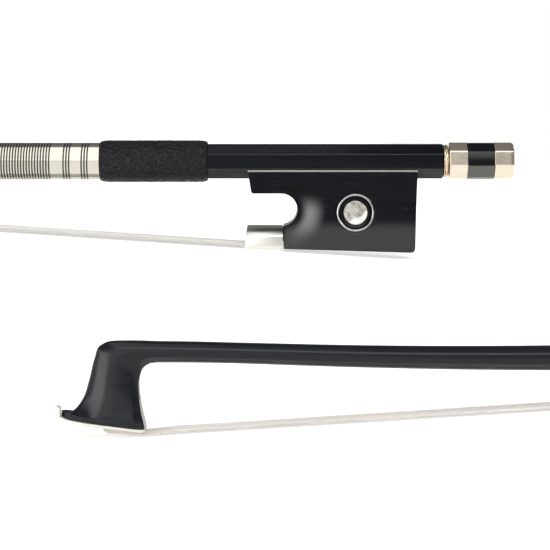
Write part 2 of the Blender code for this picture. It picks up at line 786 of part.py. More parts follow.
def sleeve_profile(start, end, inner, outer, rounding):
    """Profile of a sleeve around the handle, with its outer edges rounded."""
    corner = rounding * CORNER_SHARE
    return [
        (-start, inner),
        (-start, outer - rounding),
        (-start - corner, outer - corner),
        (-start - rounding, outer),
        (-end + rounding, outer),
        (-end + corner, outer - corner),
        (-end, outer - rounding),
        (-end, inner),
    ]


def build_sleeve(name, profile, material):
    return turn_about_x(add_piece(name, profile_mesh(profile), handle_frame, material))


def build_lapping_sleeve():
    inner = LAPPED_RADIUS + SEAT_GAP / 2
    outer = inner + LAPPING_WALL
    profile = sleeve_profile(LAPPING_START, LAPPING_END, inner, outer, LAPPING_END_ROUND)
    build_sleeve("lapping_sleeve", profile, SILVER)
    return outer


def build_thumb_leather():
    inner = HANDLE_ACROSS_FLATS / 2 / math.cos(math.pi / 8) + SEAT_GAP
    profile = sleeve_profile(
        LEATHER_START, LEATHER_END, inner, LEATHER_RADIUS, LEATHER_END_ROUND
    )
    build_sleeve("thumb_leather", profile, LEATHER)


def thread_places():
    """Where the thread crosses the near side of the stick, once for each loop."""
    places = []
    for start, loops in zip(THREAD_BAND_STARTS, THREAD_BAND_LOOPS):
        places += [start + THREAD_PITCH * loop for loop in range(loops)]
    return places


def thread_points(radius):
    """The thread's helix. It steps from one band to the next on the far side of the stick."""
    places = thread_places()
    places = [places[0] - THREAD_PITCH] + places + [places[-1] + THREAD_PITCH]
    first = THREAD_POINTS_PER_LOOP // 2
    count = (len(places) - 2) * THREAD_POINTS_PER_LOOP
    points = []
    for i in range(first, first + count + 1):
        loop, step = divmod(i, THREAD_POINTS_PER_LOOP)
        share = step / THREAD_POINTS_PER_LOOP
        gap = places[loop + 1] - places[loop]
        far = (share - THREAD_STEP_START) / (THREAD_STEP_END - THREAD_STEP_START)
        far = min(max(far, 0.0), 1.0)
        step_share = far * far * (3 - 2 * far)
        along = places[loop] + THREAD_PITCH * share + (gap - THREAD_PITCH) * step_share
        angle = 2 * math.pi * share
        points.append((-along, -radius * math.cos(angle), -radius * math.sin(angle)))
    return points


def least_self_gap(points):
    """Least distance between loops of the thread, surface to surface."""
    places = np.array(points)
    half = THREAD_POINTS_PER_LOOP // 2
    least = math.inf
    for i in range(len(places) - half):
        rest = places[i + half :]
        least = min(least, float(np.linalg.norm(rest - places[i], axis=1).min()))
    return least - THREAD_DIAMETER


def build_lapping_thread(sleeve_radius):
    points = thread_points(sleeve_radius + SEAT_GAP / 2 + THREAD_DIAMETER / 2)
    curve = bpy.data.curves.new("lapping_thread", "CURVE")
    curve.dimensions = "3D"
    curve.bevel_depth = THREAD_DIAMETER / 2
    curve.bevel_resolution = 1
    curve.use_fill_caps = True
    spline = curve.splines.new("POLY")
    spline.points.add(len(points) - 1)
    for point, place in zip(spline.points, points):
        point.co = (*place, 1.0)
    curve.materials.append(THREAD_BLACK)
    thread = bpy.data.objects.new("lapping_thread", curve)
    PARTS.objects.link(thread)
    thread.parent = handle_frame
    print(f"lapping_thread: least gap to itself {least_self_gap(points) / MM:.3f} mm")


# Frog


def frog_side_outline():
    """Side view of the frog, up to the top of the underslide's flange."""
    throat_radius = (THUMB_UNDERSIDE - THROAT_BOTTOM) / 2
    throat = (-THROAT_REAR - throat_radius, (THUMB_UNDERSIDE + THROAT_BOTTOM) / 2)
    rear = -FERRULE_REAR + SEAT_GAP / 2
    corner = (-FROG_HEEL_BOTTOM - FROG_CORNER, FROG_BOTTOM_REAR + FROG_CORNER)
    return [
        (-FROG_HEEL_TOP, FROG_TOP),
        (-FROG_FRONT_TOP, FROG_TOP),
        (-FROG_FRONT_BOTTOM, THUMB_UNDERSIDE + FROG_FRONT_CORNER),
        (-FROG_FRONT_BOTTOM + FROG_FRONT_CORNER, THUMB_UNDERSIDE),
        *arc(throat, throat_radius, 90, THROAT_END_DEGREES, THROAT_STEPS),
        (rear, THROAT_BOTTOM),
        (rear, FROG_BOTTOM_FRONT),
        *arc(corner, FROG_CORNER, -90 + math.degrees(slide_slope()), 0, CORNER_STEPS),
    ]


def cheek_form():
    """The frog's front view, drawn out along it, which gives its cheeks their hollow."""
    slab = slab_mesh(mirrored(FROG_CHEEK), LOOSE * 2, plane="YZ")
    return add_cutter("cheek_form", slab, handle_frame)


def side_form():
    return add_cutter("side_form", slab_mesh(frog_side_outline(), LOOSE), handle_frame)


def d_outline(shrink):
    """The ferrule's D section, drawn in by shrink: an arch over sides that lean in a little."""
    half = FERRULE_HALF_WIDTH - shrink
    arch_half = half - FERRULE_SIDE_LEAN
    bottom = FERRULE_BOTTOM + shrink
    corner = max(FERRULE_CORNER - shrink, LEAST_CORNER)
    rise = FERRULE_TOP - shrink - FERRULE_SIDE_TOP
    right = []
    for angle in np.radians(np.linspace(90, 0, ARCH_STEPS + 1))[1:]:
        right.append((arch_half * math.cos(angle), FERRULE_SIDE_TOP + rise * math.sin(angle)))
    right += arc((half - corner, bottom + corner), corner, 0, -90, CORNER_STEPS)
    return mirrored(right)


def slide_cutters():
    """The two steps of the slot that holds the slide in the frog's underside."""
    end = FERRULE_REAR - SLIDE_REAR
    pearl = box_mesh(
        (-OVERCUT, -SLIDE_HALF_WIDTH - SEAT_GAP, -OVERCUT),
        (end + SEAT_GAP, SLIDE_HALF_WIDTH + SEAT_GAP, PEARL_SLIDE_THICKNESS + SEAT_GAP),
    )
    height = PEARL_SLIDE_THICKNESS + SLIDE_BASE_THICKNESS
    base = box_mesh(
        (-OVERCUT, -SLIDE_BASE_HALF_WIDTH - SEAT_GAP, PEARL_SLIDE_THICKNESS),
        (end + SEAT_GAP, SLIDE_BASE_HALF_WIDTH + SEAT_GAP, height + 2 * SEAT_GAP),
    )
    return (
        add_cutter("pearl_slot_cutter", pearl, slide_frame),
        add_cutter("base_slot_cutter", base, slide_frame),
    )


def build_slide():
    end = FERRULE_REAR - SLIDE_REAR
    start = SEAT_GAP
    pearl = box_mesh(
        (start, -SLIDE_HALF_WIDTH, SEAT_GAP / 2),
        (end, SLIDE_HALF_WIDTH, PEARL_SLIDE_THICKNESS),
    )
    add_piece("slide_pearl", pearl, slide_frame, PEARL)
    bottom = PEARL_SLIDE_THICKNESS + SEAT_GAP
    base = box_mesh(
        (start, -SLIDE_BASE_HALF_WIDTH, bottom),
        (end, SLIDE_BASE_HALF_WIDTH, bottom + SLIDE_BASE_THICKNESS),
    )
    add_piece("slide_base", base, slide_frame, EBONY)


def hair_level_over_slide():
    """Height of the hair's middle over the slide, at the ferrule's rear end."""
    top = FROG_BOTTOM_FRONT + PEARL_SLIDE_THICKNESS + SLIDE_BASE_THICKNESS + 2 * SEAT_GAP
    return top + SEAT_GAP + HAIR_THICKNESS / 2


def hair_path_in_frog():
    rear = FROG_MORTISE_REAR + SEAT_GAP + HAIR_THICKNESS / 2
    level = hair_level_over_slide()
    drop = (FERRULE_REAR - rear) * math.tan(slide_slope())
    return [
        (-TONGUE_FRONT, -HAIR_BELOW_AXIS),
        (-FERRULE_REAR, level),
        (-rear, level - drop),
        (-rear, FROG_MORTISE_TOP - FROG_KNOT_RADIUS - SEAT_GAP),
    ]


def build_hair_knot_frog():
    """The hair from the ferrule over the slide and up into the mortise, where it is tied."""
    half_width = FROG_MORTISE_HALF_WIDTH - SEAT_GAP
    slab = slab_mesh(strip_outline(hair_path_in_frog(), HAIR_THICKNESS), half_width)
    knot = add_piece("hair_knot_frog", slab, handle_frame, HORSEHAIR)
    centre = (
        -FROG_MORTISE_REAR - SEAT_GAP - FROG_KNOT_RADIUS,
        0,
        FROG_MORTISE_TOP - SEAT_GAP - FROG_KNOT_RADIUS,
    )
    tie = knot_tie(
        "frog_knot_tie", FROG_KNOT_RADIUS, half_width - SEAT_GAP, centre, handle_frame
    )
    combine(knot, tie, "UNION")


def build_ferrule_wedge():
    """The wedge between the frog's tongue and the hair, which spreads the hair."""
    path = hair_path_in_frog()
    lift = HAIR_THICKNESS / 2 + SEAT_GAP
    top = TONGUE_UNDERSIDE - SEAT_GAP
    front, rear = path[0][0] + 2 * SEAT_GAP, path[1][0] - SEAT_GAP
    rise = (path[1][1] - path[0][1]) / (path[1][0] - path[0][0])
    outline = [
        (front, path[0][1] + lift + rise * 2 * SEAT_GAP),
        (rear, path[1][1] + lift),
        (rear, top),
        (front, top),
    ]
    half_width = FERRULE_HALF_WIDTH - FERRULE_WALL - 3 * SEAT_GAP
    add_piece("ferrule_wedge", slab_mesh(outline, half_width), handle_frame, MAPLE)


def build_frog_plug():
    front = -FROG_MORTISE_FRONT + SEAT_GAP
    rear = -FROG_MORTISE_REAR - HAIR_THICKNESS - 2 * SEAT_GAP
    level = hair_level_over_slide() + HAIR_THICKNESS / 2 + SEAT_GAP
    outline = [
        (front, level - (FERRULE_REAR + front) * math.tan(slide_slope())),
        (rear, level - (FERRULE_REAR + rear) * math.tan(slide_slope())),
        (rear, FROG_PLUG_TOP),
        (front, FROG_PLUG_TOP),
    ]
    slab = slab_mesh(outline, FROG_MORTISE_HALF_WIDTH - SEAT_GAP)
    add_piece("frog_plug", slab, handle_frame, MAPLE)


def frog_mortise_cutter():
    low = (-FROG_MORTISE_FRONT, -FROG_MORTISE_HALF_WIDTH, -LOOSE)
    high = (-FROG_MORTISE_REAR, FROG_MORTISE_HALF_WIDTH, FROG_MORTISE_TOP)
    return add_cutter("frog_mortise_cutter", box_mesh(low, high), handle_frame)


def hair_channel_cutter():
    """The way from the mortise to the ferrule, over the slide."""
    top = hair_level_over_slide() + HAIR_THICKNESS / 2 + SEAT_GAP
    low = (-FERRULE_REAR - OVERCUT, -FROG_MORTISE_HALF_WIDTH, FROG_BOTTOM_FRONT)
    high = (-FROG_MORTISE_REAR, FROG_MORTISE_HALF_WIDTH, top)
    return add_cutter("hair_channel_cutter", box_mesh(low, high), handle_frame)


def tongue_form():
    """The part of the frog that the ferrule slides over."""
    section = d_outline(FERRULE_WALL + SEAT_GAP)
    tongue = add_cutter(
        "tongue_form", run_mesh(section, -TONGUE_FRONT, -THROAT_REAR), handle_frame
    )
    low = (-LOOSE * 2, -LOOSE, -LOOSE * 2)
    high = (-THROAT_REAR + OVERCUT, LOOSE, TONGUE_UNDERSIDE)
    below = add_cutter("tongue_underside_cutter", box_mesh(low, high), handle_frame)
    combine(tongue, below)
    return tongue


def shank_hole_cutter():
    """The hole for the eyelet's shank, through the underslide and into the frog."""
    hole = rod_mesh(EYELET_SHANK_RADIUS + SEAT_GAP, 0, EYELET_SHANK_DEPTH + CHANNEL + SEAT_GAP)
    moved(hole, (-EYELET_ALONG, 0, 0), Matrix.Rotation(math.pi / 2, 4, "Y"))
    return add_cutter("eyelet_shank_cutter", hole, handle_frame)


def build_frog_body(cheeks, shank_hole):
    body = add_piece("frog_body", slab_mesh(frog_side_outline(), LOOSE), handle_frame, EBONY)
    combine(body, cheeks, "INTERSECT")
    combine(body, tongue_form(), "UNION")
    flange_seat = FROG_TOP - UNDERSLIDE_THICKNESS - SEAT_GAP
    above = box_mesh((-LOOSE * 2, -LOOSE, flange_seat), (OVERCUT, LOOSE, LOOSE))
    combine(body, add_cutter("flange_seat_cutter", above, handle_frame))
    channel = octagon_mesh(2 * CHANNEL, -LOOSE * 2, OVERCUT)
    combine(body, add_cutter("channel_cutter", channel, handle_frame))
    for cutter in slide_cutters():
        combine(body, cutter)
    combine(body, frog_mortise_cutter())
    combine(body, hair_channel_cutter())
    combine(body, shank_hole)
    for side, name in ((-1, "right"), (1, "left")):
        combine(body, eye_ring_seat(name, side))
        pearl_seat = eye_disc(EYE_PEARL_RADIUS + SEAT_GAP, EYE_PEARL_FLOOR - SEAT_GAP, side)
        combine(body, add_cutter(f"eye_pearl_seat_{name}", pearl_seat, handle_frame))


def underslide_path():
    """Middle line of the underslide: three sides of an octagon, and a flange over each cheek."""
    distance = UNDERSLIDE_INNER + UNDERSLIDE_THICKNESS / 2
    level = FROG_TOP - UNDERSLIDE_THICKNESS / 2
    flange = (FROG_CHEEK[0][0], level)
    bend = (distance * math.sqrt(2) + level, level)
    foot = (distance * math.tan(math.pi / 8), -distance)
    return mirrored([flange, bend, foot])


def build_underslide(side, shank_hole):
    section = strip_outline(underslide_path(), UNDERSLIDE_THICKNESS)
    run = run_mesh(section, -FROG_FRONT_TOP - OVERCUT, -FROG_HEEL_TOP + OVERCUT)
    underslide = add_piece("underslide", run, handle_frame, NICKEL_SILVER)
    combine(underslide, side, "INTERSECT")
    combine(underslide, shank_hole)


def eye_disc(radius, floor, side):
    """A round disc across the frog, from a depth in its cheek outwards."""
    disc = rod_mesh(radius, floor, EYE_REACH)
    turn = Matrix.Rotation(side * math.pi / 2, 4, "Z")
    return moved(disc, (-EYE_ALONG, 0, EYE_HEIGHT), turn)


def eye_core(name, radius, side):
    """What stays inside an eye ring, or inside the groove that holds one."""
    core = moved(eye_disc(radius, EYE_RING_FLOOR - OVERCUT, side), (0, side * OVERCUT / 2, 0))
    return add_cutter(name, core, handle_frame)


def eye_ring_seat(name, side):
    """The groove for an eye ring, with its clearance."""
    disc = eye_disc(EYE_RING_RADIUS + SEAT_GAP, EYE_RING_FLOOR - SEAT_GAP, side)
    seat = add_cutter(f"eye_ring_seat_{name}", disc, handle_frame)
    inner = EYE_RING_RADIUS - EYE_RING_WIDTH - SEAT_GAP
    combine(seat, eye_core(f"eye_ring_seat_core_{name}", inner, side))
    return seat


def build_eyes(cheeks):
    """Pearl eye and ring on each cheek, cut flush with the cheek's hollow."""
    for side, name in ((-1, "right"), (1, "left")):
        disc = eye_disc(EYE_PEARL_RADIUS, EYE_PEARL_FLOOR, side)
        pearl = add_piece(f"eye_pearl_{name}", disc, handle_frame, PEARL)
        combine(pearl, cheeks, "INTERSECT")
        disc = eye_disc(EYE_RING_RADIUS, EYE_RING_FLOOR, side)
        ring = add_piece(f"eye_ring_{name}", disc, handle_frame, NICKEL_SILVER)
        inner = EYE_RING_RADIUS - EYE_RING_WIDTH
        combine(ring, eye_core(f"eye_ring_core_{name}", inner, side))
        combine(ring, cheeks, "INTERSECT")


def build_ferrule():
    """A D-shaped tube with a leaning front end."""
    rear = -FERRULE_REAR - SEAT_GAP / 2
    tube = run_mesh(d_outline(0.0), -FERRULE_FRONT_BOTTOM - OVERCUT, rear)
    ferrule = add_piece("ferrule", tube, handle_frame, NICKEL_SILVER)
    inside = run_mesh(d_outline(FERRULE_WALL), -FERRULE_FRONT_BOTTOM - 2 * OVERCUT, OVERCUT)
    combine(ferrule, add_cutter("ferrule_inside_cutter", inside, handle_frame))
    lean = (FERRULE_FRONT_BOTTOM - FERRULE_FRONT_TOP) / (FERRULE_TOP - FERRULE_BOTTOM)
    top = (-FERRULE_FRONT_TOP + lean * OVERCUT, FERRULE_TOP + OVERCUT)
    bottom = (-FERRULE_FRONT_BOTTOM - lean * OVERCUT, FERRULE_BOTTOM - OVERCUT)
    ahead = -FERRULE_FRONT_BOTTOM - LOOSE
    outline = [top, bottom, (ahead, bottom[1]), (ahead, top[1])]
    combine(ferrule, add_cutter("ferrule_front_cutter", slab_mesh(outline, LOOSE), handle_frame))


# Screw, eyelet and button


def build_eyelet():
    rear = -EYELET_ALONG + EYELET_LENGTH / 2
    front = -EYELET_ALONG - EYELET_LENGTH / 2
    foot = -HANDLE_ACROSS_FLATS / 2
    half = EYELET_WIDTH / 2
    block = box_mesh((front, -half, foot), (rear, half, 0))
    eyelet = add_piece("eyelet", block, handle_frame, BRASS)
    eye = add_cutter("eyelet_round", rod_mesh(half, front, rear), handle_frame)
    combine(eyelet, eye, "UNION")
    shank = rod_mesh(EYELET_SHANK_RADIUS, -foot - OVERCUT, CHANNEL + EYELET_SHANK_DEPTH)
    moved(shank, (-EYELET_ALONG, 0, 0), Matrix.Rotation(math.pi / 2, 4, "Y"))
    combine(eyelet, add_cutter("eyelet_shank", shank, handle_frame), "UNION")
    bore = rod_mesh(SCREW_RADIUS + SEAT_GAP, -LOOSE * 2, OVERCUT)
    combine(eyelet, add_cutter("eyelet_bore_cutter", bore, handle_frame))


def build_screw():
    profile = [
        (SCREW_IN_BUTTON, 0.0),
        (SCREW_IN_BUTTON, SCREW_RADIUS),
        (-SCREW_SHANK_END, SCREW_RADIUS),
        (-SCREW_SHANK_END - SCREW_TAPER, SCREW_TIP_RADIUS),
        (-SCREW_END + SCREW_TAPER, SCREW_TIP_RADIUS),
        (-SCREW_END, SCREW_TIP_RADIUS / 2),
        (-SCREW_END, 0.0),
    ]
    turn_about_x(add_piece("screw", profile_mesh(profile), handle_frame, STEEL))


def build_collar():
    inner = SCREW_RADIUS + SEAT_GAP
    profile = [
        (COLLAR_LENGTH, inner),
        (COLLAR_LENGTH, COLLAR_RADIUS - COLLAR_EDGE),
        (COLLAR_LENGTH - COLLAR_EDGE, COLLAR_RADIUS),
        (SEAT_GAP + COLLAR_EDGE, COLLAR_RADIUS),
        (SEAT_GAP, COLLAR_RADIUS - COLLAR_EDGE),
        (SEAT_GAP, inner),
    ]
    turn_about_x(add_piece("button_collar", profile_mesh(profile), handle_frame, BRASS))


def button_piece(name, start, end, material):
    mesh = octagon_mesh(BUTTON_ACROSS_FLATS, start, end, turn=BUTTON_TURN)
    return add_piece(name, mesh, handle_frame, material)


def build_button_core():
    front = BUTTON_FRONT_RING_END + SEAT_GAP
    core = button_piece("button_core", front, BUTTON_REAR_RING_START - SEAT_GAP, EBONY)
    tenon = rod_mesh(BUTTON_TENON_RADIUS, BUTTON_START, BUTTON_LENGTH - BUTTON_CAP_WALL - SEAT_GAP)
    combine(core, add_cutter("button_tenon", tenon, handle_frame), "UNION")
    hole = rod_mesh(SCREW_RADIUS + SEAT_GAP, -OVERCUT, SCREW_IN_BUTTON + SEAT_GAP)
    combine(core, add_cutter("button_hole_cutter", hole, handle_frame))


def button_cap_form():
    """A wide turned form whose end cone chamfers the button's last ring."""
    corner = BUTTON_ACROSS_FLATS / 2 / math.cos(math.pi / 8)
    profile = [
        (BUTTON_LENGTH + OVERCUT, 0.0),
        (BUTTON_LENGTH + OVERCUT, corner - BUTTON_CAP_CHAMFER - OVERCUT),
        (BUTTON_LENGTH - BUTTON_CAP_CHAMFER - OVERCUT, corner + OVERCUT),
        (0.0, corner + OVERCUT),
        (0.0, 0.0),
    ]
    return turn_about_x(add_cutter("button_cap_form", profile_mesh(profile), handle_frame))


def build_button():
    build_button_core()
    front = button_piece("button_ring_front", BUTTON_START, BUTTON_FRONT_RING_END, NICKEL_SILVER)
    rear = button_piece("button_ring_rear", BUTTON_REAR_RING_START, BUTTON_LENGTH, NICKEL_SILVER)
    seat = rod_mesh(BUTTON_TENON_RADIUS + SEAT_GAP, -OVERCUT, BUTTON_LENGTH - BUTTON_CAP_WALL)
    seat = add_cutter("button_seat_cutter", seat, handle_frame)
    combine(front, seat)
    combine(rear, seat)
    combine(rear, button_cap_form(), "INTERSECT")


def stand_at_origin():
    """Moves the bow frame so that the middle of the bow's underside is the origin."""
    bpy.context.view_layer.update()
    graph = bpy.context.evaluated_depsgraph_get()
    corners = []
    for piece in PARTS.objects:
        if piece.type == "EMPTY":
            continue
        shape = piece.evaluated_get(graph)
        mesh = shape.to_mesh()
        corners += [shape.matrix_world @ vertex.co for vertex in mesh.vertices]
        shape.to_mesh_clear()
    low = [min(corner[axis] for corner in corners) for axis in range(3)]
    high = [max(corner[axis] for corner in corners) for axis in range(3)]
    bow_frame.location = (-(low[0] + high[0]) / 2, -(low[1] + high[1]) / 2, -low[2])


def main():
    mortise = head_mortise_cutter()
    build_stick(mortise)
    build_tip_plate(mortise)
    build_head_wedge()
    build_hair_knot_head()
    build_hair_ribbon()
    sleeve_radius = build_lapping_sleeve()
    build_lapping_thread(sleeve_radius)
    build_thumb_leather()
    cheeks = cheek_form()
    shank_hole = shank_hole_cutter()
    build_frog_body(cheeks, shank_hole)
    build_underslide(side_form(), shank_hole)
    build_eyes(cheeks)
    build_ferrule()
    build_ferrule_wedge()
    build_frog_plug()
    build_hair_knot_frog()
    build_slide()
    build_eyelet()
    build_screw()
    build_collar()
    build_button()
    stand_at_origin()


main()
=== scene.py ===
"""Looks of the violin bow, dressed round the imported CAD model.

The photograph joins two close views of one bow: the frog end above and the head end below. The
camera stands in front of the frog end. A tiny pane just before the lens, over the lower part of
the frame, is a ray portal. Like a pair of mirrors, it moves and turns the rays that pass it, so
that they see the head end.

Three frames are used, as in the CAD. The handle frame has its origin on the handle's axis at the
stick's rear end, with X along that axis. The head frame has its origin on the hair, just behind
the head. The bow frame has its origin at the handle frame's, with X along the hair.
"""

import json
import math

import bmesh
import bpy
import numpy as np
from mathutils import Matrix, Vector, noise as fractal


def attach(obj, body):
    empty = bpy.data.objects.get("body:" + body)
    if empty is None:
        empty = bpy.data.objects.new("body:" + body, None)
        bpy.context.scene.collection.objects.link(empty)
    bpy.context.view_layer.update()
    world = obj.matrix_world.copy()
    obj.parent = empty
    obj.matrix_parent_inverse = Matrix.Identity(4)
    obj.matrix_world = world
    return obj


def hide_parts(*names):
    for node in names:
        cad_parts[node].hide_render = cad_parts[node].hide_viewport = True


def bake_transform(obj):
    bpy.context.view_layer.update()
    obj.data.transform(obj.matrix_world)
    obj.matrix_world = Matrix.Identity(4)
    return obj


MM = 0.001

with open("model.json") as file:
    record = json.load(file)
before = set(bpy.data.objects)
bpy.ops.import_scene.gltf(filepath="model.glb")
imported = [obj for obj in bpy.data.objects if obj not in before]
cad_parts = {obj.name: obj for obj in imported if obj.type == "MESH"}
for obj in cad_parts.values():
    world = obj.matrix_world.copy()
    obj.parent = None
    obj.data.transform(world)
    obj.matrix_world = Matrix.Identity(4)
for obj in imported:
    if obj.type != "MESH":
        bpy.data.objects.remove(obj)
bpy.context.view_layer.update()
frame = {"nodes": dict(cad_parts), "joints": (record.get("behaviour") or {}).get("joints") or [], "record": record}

# Frames of the part
HANDLE_TILT = math.radians(3.83)
HEAD_TILT = math.radians(3.64)
BOW_PLACE = Vector(next(joint["pos_m"] for joint in frame["joints"] if joint["name"] == "button_turn"))
HAIR_LEVEL = -25.351 * MM
HEAD_PLACE = -703.389 * MM
SEAT_GAP = 0.15 * MM

# Stick
HANDLE_ACROSS_FLATS = 9.1 * MM
HANDLE_LENGTH = 165.0 * MM
OCTAGON_END = 61.5 * MM
ROUND_START = 73.0 * MM
LAPPED_RADIUS = 4.2 * MM
END_CHAMFER = 0.4 * MM
CAMBER_LOW_START = 335.0 * MM
CAMBER_LOW_END = 456.0 * MM
CAMBER_LOW_HEIGHT = 8.9 * MM
HEAD_BEND_FROM_HEAD = 52.0 * MM
HEAD_BEND_HEIGHT = 17.0 * MM
HEAD_BEND_SLOPE = 0.087
NECK_LENGTH = 2.0 * MM
STICK_TAPER = (
    (165.0 * MM, 4.15 * MM),
    (300.0 * MM, 4.05 * MM),
    (430.0 * MM, 3.85 * MM),
    (540.0 * MM, 3.6 * MM),
    (596.0 * MM, 3.38 * MM),
    (640.0 * MM, 3.05 * MM),
    (680.0 * MM, 2.82 * MM),
    (705.0 * MM, 2.92 * MM),
)
STICK_STEP = 7.0 * MM
SLOPE_SAMPLE = 0.5 * MM
FACET_ANGLES = (-22.5, -20.5, -17.0, -8.5, 0.0, 8.5, 17.0, 20.5)
CORNER_EASE = 0.985

# Head, as sections in the head frame, in millimetres: the front point, the back point, the half
# width, and how far the section has turned from the round stick into the head's own form
HEAD_SECTIONS = (
    (-2.7, 24.45, 0.3, 18.3, 2.85, 0.0),
    (-7.6, 24.45, -1.0, 17.6, 2.9, 0.1),
    (-10.75, 24.25, -1.9, 16.7, 2.95, 0.2),
    (-12.75, 23.4, -2.3, 15.7, 3.0, 0.35),
    (-13.95, 22.3, -2.6, 14.5, 3.1, 0.5),
    (-14.55, 20.4, -2.8, 13.1, 3.3, 0.65),
    (-15.25, 18.1, -2.8, 11.5, 3.5, 0.8),
    (-15.85, 15.5, -2.65, 9.6, 3.8, 0.9),
    (-16.65, 12.5, -2.4, 7.6, 4.15, 1.0),
    (-17.55, 9.7, -2.1, 5.7, 4.5, 1.0),
    (-18.65, 7.7, -1.75, 4.1, 4.8, 1.0),
    (-20.0, 6.05, -1.45, 2.9, 5.0, 1.0),
    (-21.6, 5.05, -1.25, 2.0, 5.05, 1.0),
    (-22.9, 5.05, -1.15, 1.5, 5.1, 1.0),
    (-23.7, 5.6, -1.15, 0.9, 5.1, 1.0),
    (-23.8, 1.3, -1.05, -0.8, 5.1, 1.0),
)
HEAD_STEPS_BETWEEN = 5
HEAD_RIDGE_SHARE = 0.5
HEAD_RIDGE_POWER = 0.6
HEAD_BACK_SHARE = 0.9
HEAD_BACK_FLAT = 0.7
UNDERSIDE_BACK = Vector((-1.15 * MM, 1.0 * MM))
UNDERSIDE_FRONT = Vector((-21.9 * MM, 3.55 * MM))
NOSE_UNDERSIDE = Vector((-24.4 * MM, 4.3 * MM))
HEAD_MORTISE_FRONT = -12.3 * MM
HEAD_MORTISE_BACK = -4.5 * MM
HEAD_MORTISE_HALF_WIDTH = 3.9 * MM
HEAD_MORTISE_TOP = 8.0 * MM

# Tip plate
PLATE_THICKNESS = 0.8 * MM
PLATE_NOSE_FRONT = -25.1 * MM
PLATE_NOSE_BACK = -24.0 * MM
PLATE_NOSE_TOP = 6.9 * MM
PLATE_NOSE_SLANT = 0.5 * MM
PLATE_NOSE_TOE = 0.1 * MM
PLATE_NOSE_HALF_WIDTH = 1.3 * MM
PLATE_PLAN = (
    (0.6 * MM, 1.6 * MM),
    (2.2 * MM, 2.7 * MM),
    (4.4 * MM, 4.0 * MM),
    (6.8 * MM, 4.85 * MM),
    (8.6 * MM, 5.1 * MM),
)
PLATE_HEEL_CUT = 2.0 * MM
PLATE_HEEL_HALF_WIDTH = 4.1 * MM
PLATE_EDGE = 0.15 * MM

# Hair
HAIR_BELOW_AXIS = 21.9 * MM
HAIR_WIDTH_AT_HEAD = 7.4 * MM
HAIR_WIDTH_AT_FERRULE = 10.4 * MM
HAIR_RISE_LENGTH = 8.0 * MM
HAIR_CORE_SHARE = 0.82
HAIR_STRANDS = 170
HAIR_STRAND_RADIUS = 0.085 * MM
HAIR_STRAND_SIDES = 4
HAIR_WAVER = 0.05 * MM
HAIR_LEVEL_RINGS = 12

# The ribbon's thickness under the tip plate, by distance behind the mortise's front wall
HAIR_UNDER_PLATE = ((0.15 * MM, 0.75 * MM), (1.2 * MM, 1.25 * MM), (5.5 * MM, 1.05 * MM), (11.3 * MM, 0.7 * MM))
HAIR_THICKNESS_AT_FERRULE = 0.95 * MM
HAIR_SEED = 7

# Winding
LAPPING_START = 74.0 * MM
LAPPING_END = 160.0 * MM
LAPPING_RADIUS = 4.88 * MM
LAPPING_INNER = 4.3 * MM
LAPPING_EDGE = 0.07 * MM
THREAD_RADIUS = 0.16 * MM
THREAD_CENTRE = 4.76 * MM
THREAD_BED = 0.135 * MM
THREAD_PITCH = 0.735 * MM
THREAD_BANDS = ((93.7 * MM, 3), (98.45 * MM, 3), (103.7 * MM, 76))
THREAD_STEP_START = 0.25
THREAD_STEP_END = 0.75
POINTS_PER_LOOP = 48
THREAD_SIDES = 8

# Thumb leather
LEATHER_START = 62.1 * MM
LEATHER_END = 90.6 * MM
LEATHER_RADIUS = 5.57 * MM
LEATHER_INNER = 5.0 * MM
LEATHER_PEBBLE = 0.09 * MM
LEATHER_CELL = 0.75 * MM
LEATHER_ROWS = 190
LEATHER_POINTS = 160
LEATHER_END_PROFILE = ((0.0, 0.62), (0.25, 0.3), (0.9, 0.1), (2.2, 0.0))

# Frog
FROG_CHEEK = (
    (5.35 * MM, -2.3 * MM),
    (5.3 * MM, -5.0 * MM),
    (5.05 * MM, -8.0 * MM),
    (5.0 * MM, -11.0 * MM),
    (5.35 * MM, -14.0 * MM),
    (5.95 * MM, -17.0 * MM),
    (6.45 * MM, -19.5 * MM),
    (6.7 * MM, -21.8 * MM),
    (6.6 * MM, -24.6 * MM),
)
FROG_HALF_WIDTH = 6.7 * MM
# Heights between which the frog's cheek turns to a painted lighter grey, a painted reflection of the floor below
FROG_SHEEN_TOP = -14.8 * MM
FROG_SHEEN_BOTTOM = -18.6 * MM
FROG_VOXEL = 0.17 * MM
FROG_SMOOTHING = 4
FROG_KEPT_FACES = 0.35
SCOOP_PLACE = (-43.0 * MM, -12.7 * MM)
SCOOP_INNER = 5.2 * MM
SCOOP_OUTER = 10.3 * MM
SCOOP_DEPTH = 1.1 * MM
SCOOP_DIRECTION = math.radians(-25.0)
SCOOP_SPREAD = math.radians(62.0)
SCOOP_FADE = math.radians(25.0)

# Ferrule
FERRULE_REAR = 42.15 * MM
FERRULE_FRONT_TOP = 51.65 * MM
FERRULE_FRONT_BOTTOM = 52.4 * MM
FERRULE_TOP = -16.9 * MM
FERRULE_BOTTOM = -22.95 * MM
FERRULE_HALF_WIDTH = 6.5 * MM
FERRULE_SIDE_TOP = -20.2 * MM
FERRULE_SIDE_LEAN = 0.2 * MM
FERRULE_CORNER = 0.9 * MM
FERRULE_TOE = 0.8 * MM
FERRULE_WALL = 0.45 * MM
FERRULE_EDGE = 0.12 * MM
TONGUE_FRONT = 51.0 * MM

# Eyes
EYE_ALONG = 23.15 * MM
EYE_HEIGHT = -13.4 * MM
EYE_PEARL_RADIUS = 3.12 * MM
EYE_RING_RADIUS = 4.97 * MM
EYE_RING_WIDTH = 0.62 * MM
EYE_RING_CROWN = 0.1 * MM
EYE_PEARL_CROWN = 0.12 * MM
EYE_FLOOR = 4.3 * MM
EYE_POINTS = 72

